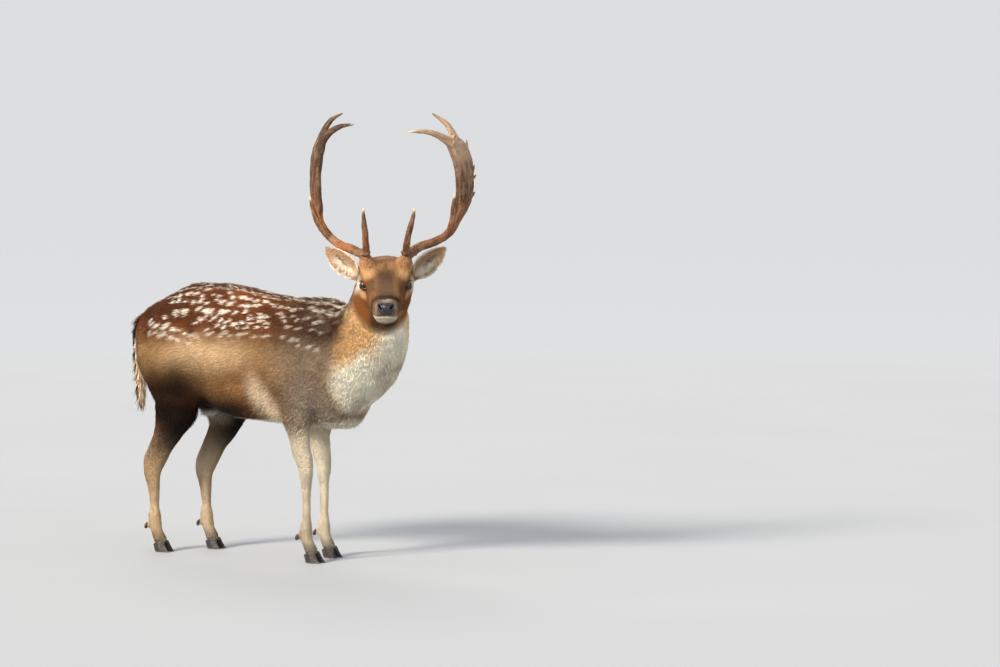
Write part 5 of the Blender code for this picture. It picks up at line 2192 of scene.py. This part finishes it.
class Effects:
    """The effects that several finishes share, each built once as a node group."""

    def __init__(self) -> None:
        """Builds the groups."""
        self.mottle = self.made_mottle()
        self.strands = self.made_strands()

    def made_mottle(self) -> NodeTree:
        """A colour that drifts lighter and darker over broad and fine patches."""
        inputs = {
            "Colour": ("NodeSocketColor", (0.5, 0.5, 0.5, 1)),
            "Broad": ("NodeSocketFloat", 12.0),
            "Fine": ("NodeSocketFloat", 300.0),
            "Depth": ("NodeSocketFloat", 0.3),
        }
        graph, start, end = started_group("mottle", inputs, ("Colour", "NodeSocketColor"))
        place = graph.place()
        broad = graph.add("TexNoise", {"Vector": place, "Scale": start["Broad"], "Detail": 3.0})
        fine = graph.add("TexNoise", {"Vector": place, "Scale": start["Fine"], "Detail": 2.0})
        total = graph.maths("ADD", broad.outputs["Fac"], fine.outputs["Fac"])
        swing = graph.maths("MULTIPLY", graph.maths("SUBTRACT", total, 1.0), start["Depth"])
        shade = graph.maths("ADD", swing, 1.0)
        lit = graph.add("VectorMath", {0: start["Colour"], "Scale": shade}, operation="SCALE")
        graph.fill(end, {"Colour": lit.outputs[0]})
        return graph.tree

    def made_strands(self) -> NodeTree:
        """The height of fine fibres drawn out along one direction."""
        inputs = {
            "Stretch": ("NodeSocketVector", (900.0, 900.0, 120.0)),
            "Roughness": ("NodeSocketFloat", 0.5),
        }
        graph, start, end = started_group("strands", inputs, ("Height", "NodeSocketFloat"))
        sizes = {0: graph.place(), 1: start["Stretch"]}
        scaled = graph.add("VectorMath", sizes, operation="MULTIPLY").outputs[0]
        sizes = {"Vector": scaled, "Scale": 1.0, "Detail": 3.0, "Roughness": start["Roughness"]}
        graph.fill(end, {"Height": graph.add("TexNoise", sizes).outputs["Fac"]})
        return graph.tree


@dataclass(frozen=True)
class Finish:
    """A finish that reads its piece's colours and lets them drift.

    Its drift is the fineness of the broad and of the fine patches, and how deep they are.
    """

    name: str
    drift: tuple
    specular: float

    def started(self, effects: Effects) -> tuple[Material, Graph, Node]:
        """Starts the finish.

        Args:
            effects: the shared effects.

        Returns:
            The material, a graph on it, and its shader.
        """
        material, graph, shader = started_material(self.name)
        painted = graph.add("Attribute", attribute_name=COLOUR).outputs["Color"]
        broad, fine, depth = self.drift
        sizes = {"Colour": painted, "Broad": broad, "Fine": fine, "Depth": depth}
        drifting = graph.add("Group", sizes, node_tree=effects.mottle).outputs["Colour"]
        graph.fill(shader, {"Base Color": drifting, "Specular IOR Level": self.specular})
        return material, graph, shader


@dataclass(frozen=True)
class FibreFinish(Finish):
    """Hair, horn or antler: dry, with fine fibres that are duller where they stand high."""

    rough: tuple
    stretch: tuple
    bump: float
    sheen: float = 0.0

    def make(self, effects: Effects) -> Material:
        """The finish as a material.

        Args:
            effects: the shared groups.

        Returns:
            The material.
        """
        material, graph, shader = self.started(effects)
        fibres = graph.add("Group", {"Stretch": self.stretch}, node_tree=effects.strands).outputs[0]
        bump = graph.add("Bump", {"Height": fibres, "Strength": self.bump, "Distance": 0.001})
        low, high = self.rough
        rough = graph.add("MapRange", {"Value": fibres, "To Min": low, "To Max": high})
        graph.fill(shader, {"Normal": bump.outputs[0], "Roughness": rough.outputs[0]})
        if self.sheen:
            graph.fill(shader, {"Sheen Weight": self.sheen, "Sheen Roughness": 0.45})
        return material


@dataclass(frozen=True)
class SkinFinish(Finish):
    """The skin under the coat, and the bare leather of the nose and lids."""

    name: str = "skin_and_nose"
    drift: tuple = (40.0, 600.0, 0.35)
    specular: float = 0.4
    stretch: tuple = (500.0, 900.0, 700.0)
    pores: float = 620.0

    def make(self, effects: Effects) -> Material:
        """The finish as a material, leathery where the skin is bare.

        Args:
            effects: the shared groups.

        Returns:
            The material.
        """
        material, graph, shader = self.started(effects)
        bare = graph.add("Attribute", attribute_name=BARE).outputs["Fac"]
        fibres = graph.add("Group", {"Stretch": self.stretch}, node_tree=effects.strands).outputs[0]
        sizes = {"Vector": graph.place(), "Scale": self.pores}
        cells = graph.add("TexVoronoi", sizes, feature="SMOOTH_F1").outputs["Distance"]
        grain = graph.add("MapRange", {"Value": cells, "To Min": 1.0, "To Max": 0.0}).outputs[0]
        height = graph.add("Mix", {0: bare, 2: fibres, 3: grain}).outputs[0]
        bump = graph.add("Bump", {"Height": height, "Strength": 0.45, "Distance": 0.0008})
        rough = graph.add("MapRange", {"Value": bare, "To Min": 0.72, "To Max": 0.3})
        graph.fill(shader, {"Normal": bump.outputs[0], "Roughness": rough.outputs[0]})
        return material


@dataclass(frozen=True)
class EyeFinish(Finish):
    """A wet eye: smooth and dark, with a clear coat and a fine mottle in its colour."""

    name: str = "wet_eye"
    drift: tuple = (300.0, 1500.0, 0.5)
    specular: float = 0.2

    def make(self, effects: Effects) -> Material:
        """The finish as a material.

        Args:
            effects: the shared groups.

        Returns:
            The material.
        """
        material, graph, shader = self.started(effects)
        graph.fill(shader, {"Roughness": 0.16, "Coat Weight": 0.6, "Coat Roughness": 0.03})
        return material


# The fibres of each finish: their drift, gloss, lowest and highest roughness, stretch, bump
# and sheen.
HAIR_DRIFT, HORN_DRIFT = (26.0, 420.0), (55.0, 700.0)
ALONG_BODY, DOWN_LEG, DOWN_TAIL = (260.0, 900.0, 700.0), (900.0, 900.0, 220.0), (900.0, 900.0, 160.0)
FINISHES = {
    "coat_chestnut": FibreFinish(
        "coat_body", (*HAIR_DRIFT, 0.45), 0.08, (0.5, 0.7), ALONG_BODY, 0.35, 0.01
    ),
    "coat_face": FibreFinish(
        "coat_of_face", (*HAIR_DRIFT, 0.35), 0.08, (0.54, 0.74), ALONG_BODY, 0.35, 0.03
    ),
    "coat_leg": FibreFinish(
        "coat_of_legs", (*HAIR_DRIFT, 0.45), 0.08, (0.5, 0.7), DOWN_LEG, 0.35, 0.01
    ),
    "coat_tail": FibreFinish(
        "coat_of_tail", (*HAIR_DRIFT, 0.45), 0.08, (0.5, 0.7), DOWN_TAIL, 0.35, 0.01
    ),
    "coat_ear": FibreFinish(
        "coat_of_ears", (*HAIR_DRIFT, 0.3), 0.08, (0.58, 0.78), ALONG_BODY, 0.35, 0.06
    ),
    "antler_bone": FibreFinish(
        "antler_bone", (*HORN_DRIFT, 0.75), 0.32, (0.52, 0.82), (700.0, 700.0, 260.0), 0.75
    ),
    "hoof_horn": FibreFinish(
        "hoof_horn", (*HORN_DRIFT, 0.5), 0.32, (0.34, 0.58), (300.0, 300.0, 1100.0), 0.4
    ),
    "eye_wet": EyeFinish(),
}


# The studio.


@dataclass
class Studio:
    """A plain pale floor that rises softly behind, soft lights, and the camera."""

    anatomy: Anatomy
    heading: float = math.radians(32)
    tilt: float = math.radians(3)
    place: tuple = (6.904, -9.434, 1.362)
    lens: float = 124.2
    bend_start: float = 13.5
    floor_edge: float = 30.0
    rise: float = 7.0
    floor_tints: tuple = ((0.4, 0.41, 0.42, 1), (0.44, 0.45, 0.46, 1))
    backdrop: tuple = (0.7, 0.71, 0.72)
    key_power: float = 5.2
    key_spread: float = math.radians(16)
    key_from: tuple = (-1.5, -5.1, 3.05)

    def floor(self) -> None:
        """Adds a round floor whose edge rises softly all the way round."""
        near, rising = np.linspace(1, self.bend_start, 12), np.linspace(14, self.floor_edge, 40)
        far = np.concatenate([[0.02], near, rising])
        turn = np.linspace(0, 2 * math.pi, 129)[:-1]
        bend = np.maximum(far - self.bend_start, 0) / (self.floor_edge - self.bend_start)
        height = self.rise * bend**2.2
        rows = [np.outer(far, np.cos(turn)), np.outer(far, np.sin(turn))]
        points = np.stack([*rows, np.outer(height, np.ones(len(turn)))], axis=-1).reshape(-1, 3)
        index = np.arange(len(points)).reshape(len(far), len(turn))
        after = np.roll(index, -1, axis=1)
        quads = np.stack([index[:-1], index[1:], after[1:], after[:-1]], axis=-1)
        mesh = Shell(points, [quads.reshape(-1, 4), index[0][None]]).mesh("floor")
        mesh.materials.append(self.floor_finish())
        linked("floor", mesh)

    def floor_finish(self) -> Material:
        """The floor's matt finish, with faint clouds, that glows far out where it rises."""
        material, graph, shader = started_material("pale_floor")
        place = graph.place()
        cloud = graph.add("TexNoise", {"Vector": place, "Scale": 0.8, "Detail": 4.0})
        tint = graph.add("ValToRGB", {"Fac": cloud.outputs["Fac"]})
        for stop, shade in zip(tint.color_ramp.elements, self.floor_tints):
            stop.color = shade
        reach = graph.add("VectorMath", {0: place}, operation="LENGTH").outputs["Value"]
        ends = {"Value": reach, "From Min": 8.5, "From Max": 15.0}
        far = graph.add("MapRange", ends, interpolation_type="SMOOTHSTEP").outputs[0]
        near = graph.maths("SUBTRACT", 1.0, far)
        dark = graph.add("VectorMath", {0: tint.outputs[0], "Scale": near}, operation="SCALE")
        glow = graph.add("VectorMath", {0: self.backdrop, "Scale": far}, operation="SCALE")
        graph.fill(shader, {
            "Base Color": dark.outputs[0],
            "Emission Color": glow.outputs[0],
            "Emission Strength": 1.0,
            "Roughness": 0.9,
            "Specular IOR Level": 0.08,
        })
        return material

    def light(self, name: str, source: tuple, spread: float, power: float, tint: tuple) -> None:
        """Adds one far, wide, soft light.

        Args:
            name: its name.
            source: the direction that it shines from.
            spread: how wide it looks, as an angle.
            power: its strength.
            tint: its colour.
        """
        lamp = bpy.data.lights.new(name, "SUN")
        lamp.energy, lamp.angle, lamp.color = power, spread, tint
        linked(name, lamp).rotation_euler = Vector(source).to_track_quat("Z", "Y").to_euler()

    def lights(self) -> None:
        """A wide soft key from the camera's left, a fill from its right, and a pale sky."""
        self.light("key", self.key_from, self.key_spread, self.key_power, (1.0, 0.93, 0.83))
        self.light("fill", (6.5, -2.5, 2.6), math.radians(30), 0.7, (0.93, 0.96, 1.0))
        self.light("back", (-4.5, 4.5, 4.5), math.radians(30), 0.95, (1.0, 0.97, 0.92))
        world = bpy.data.worlds.new("pale_sky")
        world.use_nodes = True
        sky = world.node_tree.nodes["Background"]
        sky.inputs["Color"].default_value = (0.86, 0.9, 0.96, 1)
        sky.inputs["Strength"].default_value = 0.74
        bpy.context.scene.world = world

    def camera(self) -> None:
        """Sets the camera where the deer is seen from its right and a little ahead."""
        data = bpy.data.cameras.new("camera")
        data.lens, data.sensor_width = self.lens, 36.0
        data.clip_end = 100.0
        camera = linked("camera", data)
        camera.location = Vector(np.array(self.place) + self.anatomy.shift)
        camera.rotation_euler = (math.radians(90) - self.tilt, 0, self.heading)
        bpy.context.scene.camera = camera
        bpy.context.scene.view_settings.view_transform = "Standard"


# Putting it all together.

SLOTS = {
    "FLANK": "coat_chestnut",
    "RUMP": "coat_chestnut",
    "NECK": "coat_chestnut",
    "HEAD": "coat_face",
    "FORELEGS": "coat_leg",
    "HINDLEGS": "coat_leg",
    "TAIL": "coat_tail",
    "EARS": "coat_ear",
}

SKIN_SHADE = 0.8  # How much darker the skin is than the hair over it.


class Deer:
    """The whole buck, built over the frame."""

    def __init__(self, nodes: dict) -> None:
        """Prepares what the pieces share.

        Args:
            nodes: the frame's nodes by name.
        """
        self.nodes, self.anatomy, self.face = nodes, Anatomy(), Face()
        self.markings = Markings(self.anatomy, self.face)
        self.effects = Effects()
        self.finishes = {slot: finish.make(self.effects) for slot, finish in FINISHES.items()}

    def place(
        self, mesh: Mesh, slot: str, *replaced: str, finish: Material | None = None
    ) -> None:
        """Adds a piece that rides on the deer's one body.

        Args:
            mesh: its mesh.
            slot: the record's slot that it takes its finish from.
            replaced: the nodes that it stands for.
            finish: its material, if it isn't the slot's own.
        """
        mesh.materials.append(finish or self.finishes[slot])
        piece = linked(mesh.name, mesh)
        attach(piece, BODY)
        if replaced:
            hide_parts(*replaced)
        LOG.info("%s: %d faces", mesh.name, len(mesh.polygons))

    def build_hard_pieces(self) -> None:
        """Makes the eyes, antlers and hooves."""
        for side in Side:
            self.place(Eye(side, self.anatomy, self.face).mesh(), "eye_wet", "eye_" + side.word)
            antler = Antler(side, self.anatomy)
            self.place(antler.mesh(self.nodes), "antler_bone", *antler.nodes())
        hooves = Hooves()
        for name in hooves.nodes():
            self.place(hooves.mesh(self.nodes[name]), "hoof_horn", name)

    def build_skin(self) -> tuple[Shell, Growth]:
        """Makes the skin piece.

        Returns:
            Its surface, with the coat's colours, and how the coat grows on it.
        """
        skin = Skin(self.anatomy, self.face, self.markings)
        body = skin.head_detail(skin.smooth_body(self.nodes))
        skin.sculpt(body)
        growth = skin.growth(body)
        body.colours = self.markings.at(body.points)
        palette = self.markings.palette
        parts = [Ear(side, self.anatomy, palette).shell() for side in Side]
        parts.append(Tail(palette).shell(self.nodes["tail"]))
        for _, more in parts:
            growth = growth.joined(more)
        whole = merged([body, *(shell for shell, _ in parts)])
        mesh = Shell(whole.points, whole.faces, whole.colours * SKIN_SHADE).mesh("skin")
        bare = np.zeros(len(whole.points))
        bare[: len(body.points)] = self.leathery(body.points)
        layer = mesh.attributes.new(BARE, "FLOAT", "POINT")
        layer.data.foreach_set("value", bare.astype(np.float32))
        replaced = [*skin.nodes(), *("ear_" + side.word for side in Side), "tail"]
        self.place(mesh, "coat_chestnut", *replaced, finish=SkinFinish().make(self.effects))
        return whole, growth

    def leathery(self, points: Array) -> Array:
        """1 on the bare leather of the nose and lids, 0 on other skin.

        Args:
            points: rows of x, y, z.

        Returns:
            One share for each row.
        """
        head = self.face.folded(self.anatomy.to_head(points))
        reach, _, _, _ = self.face.eye_reach(head)
        lids = self.face.near_eye(head) * (1 - ramp(reach, 1.2, 1.35))
        return np.maximum(self.face.pad(head), lids) * self.anatomy.headness(points)

    def build_coat(self, shell: Shell, growth: Growth) -> None:
        """Makes every piece of the coat.

        Args:
            shell: the skin's surface, with the coat's colours.
            growth: how the coat grows on it.
        """
        coat = Coat(self.markings, shell, growth)
        for region in Region:
            self.place(coat.mesh(region), SLOTS[region.name.split("_")[0]])


def main() -> None:
    """Loads the frame and builds the buck and its studio around it."""
    logging.basicConfig(level=logging.INFO, format="%(message)s")
    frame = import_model()
    deer = Deer(frame["nodes"])
    studio = Studio(deer.anatomy)
    studio.camera()
    studio.lights()
    studio.floor()
    deer.build_hard_pieces()
    shell, growth = deer.build_skin()
    deer.build_coat(shell, growth)
    bpy.context.view_layer.update()


if __name__ == "__main__":
    main()
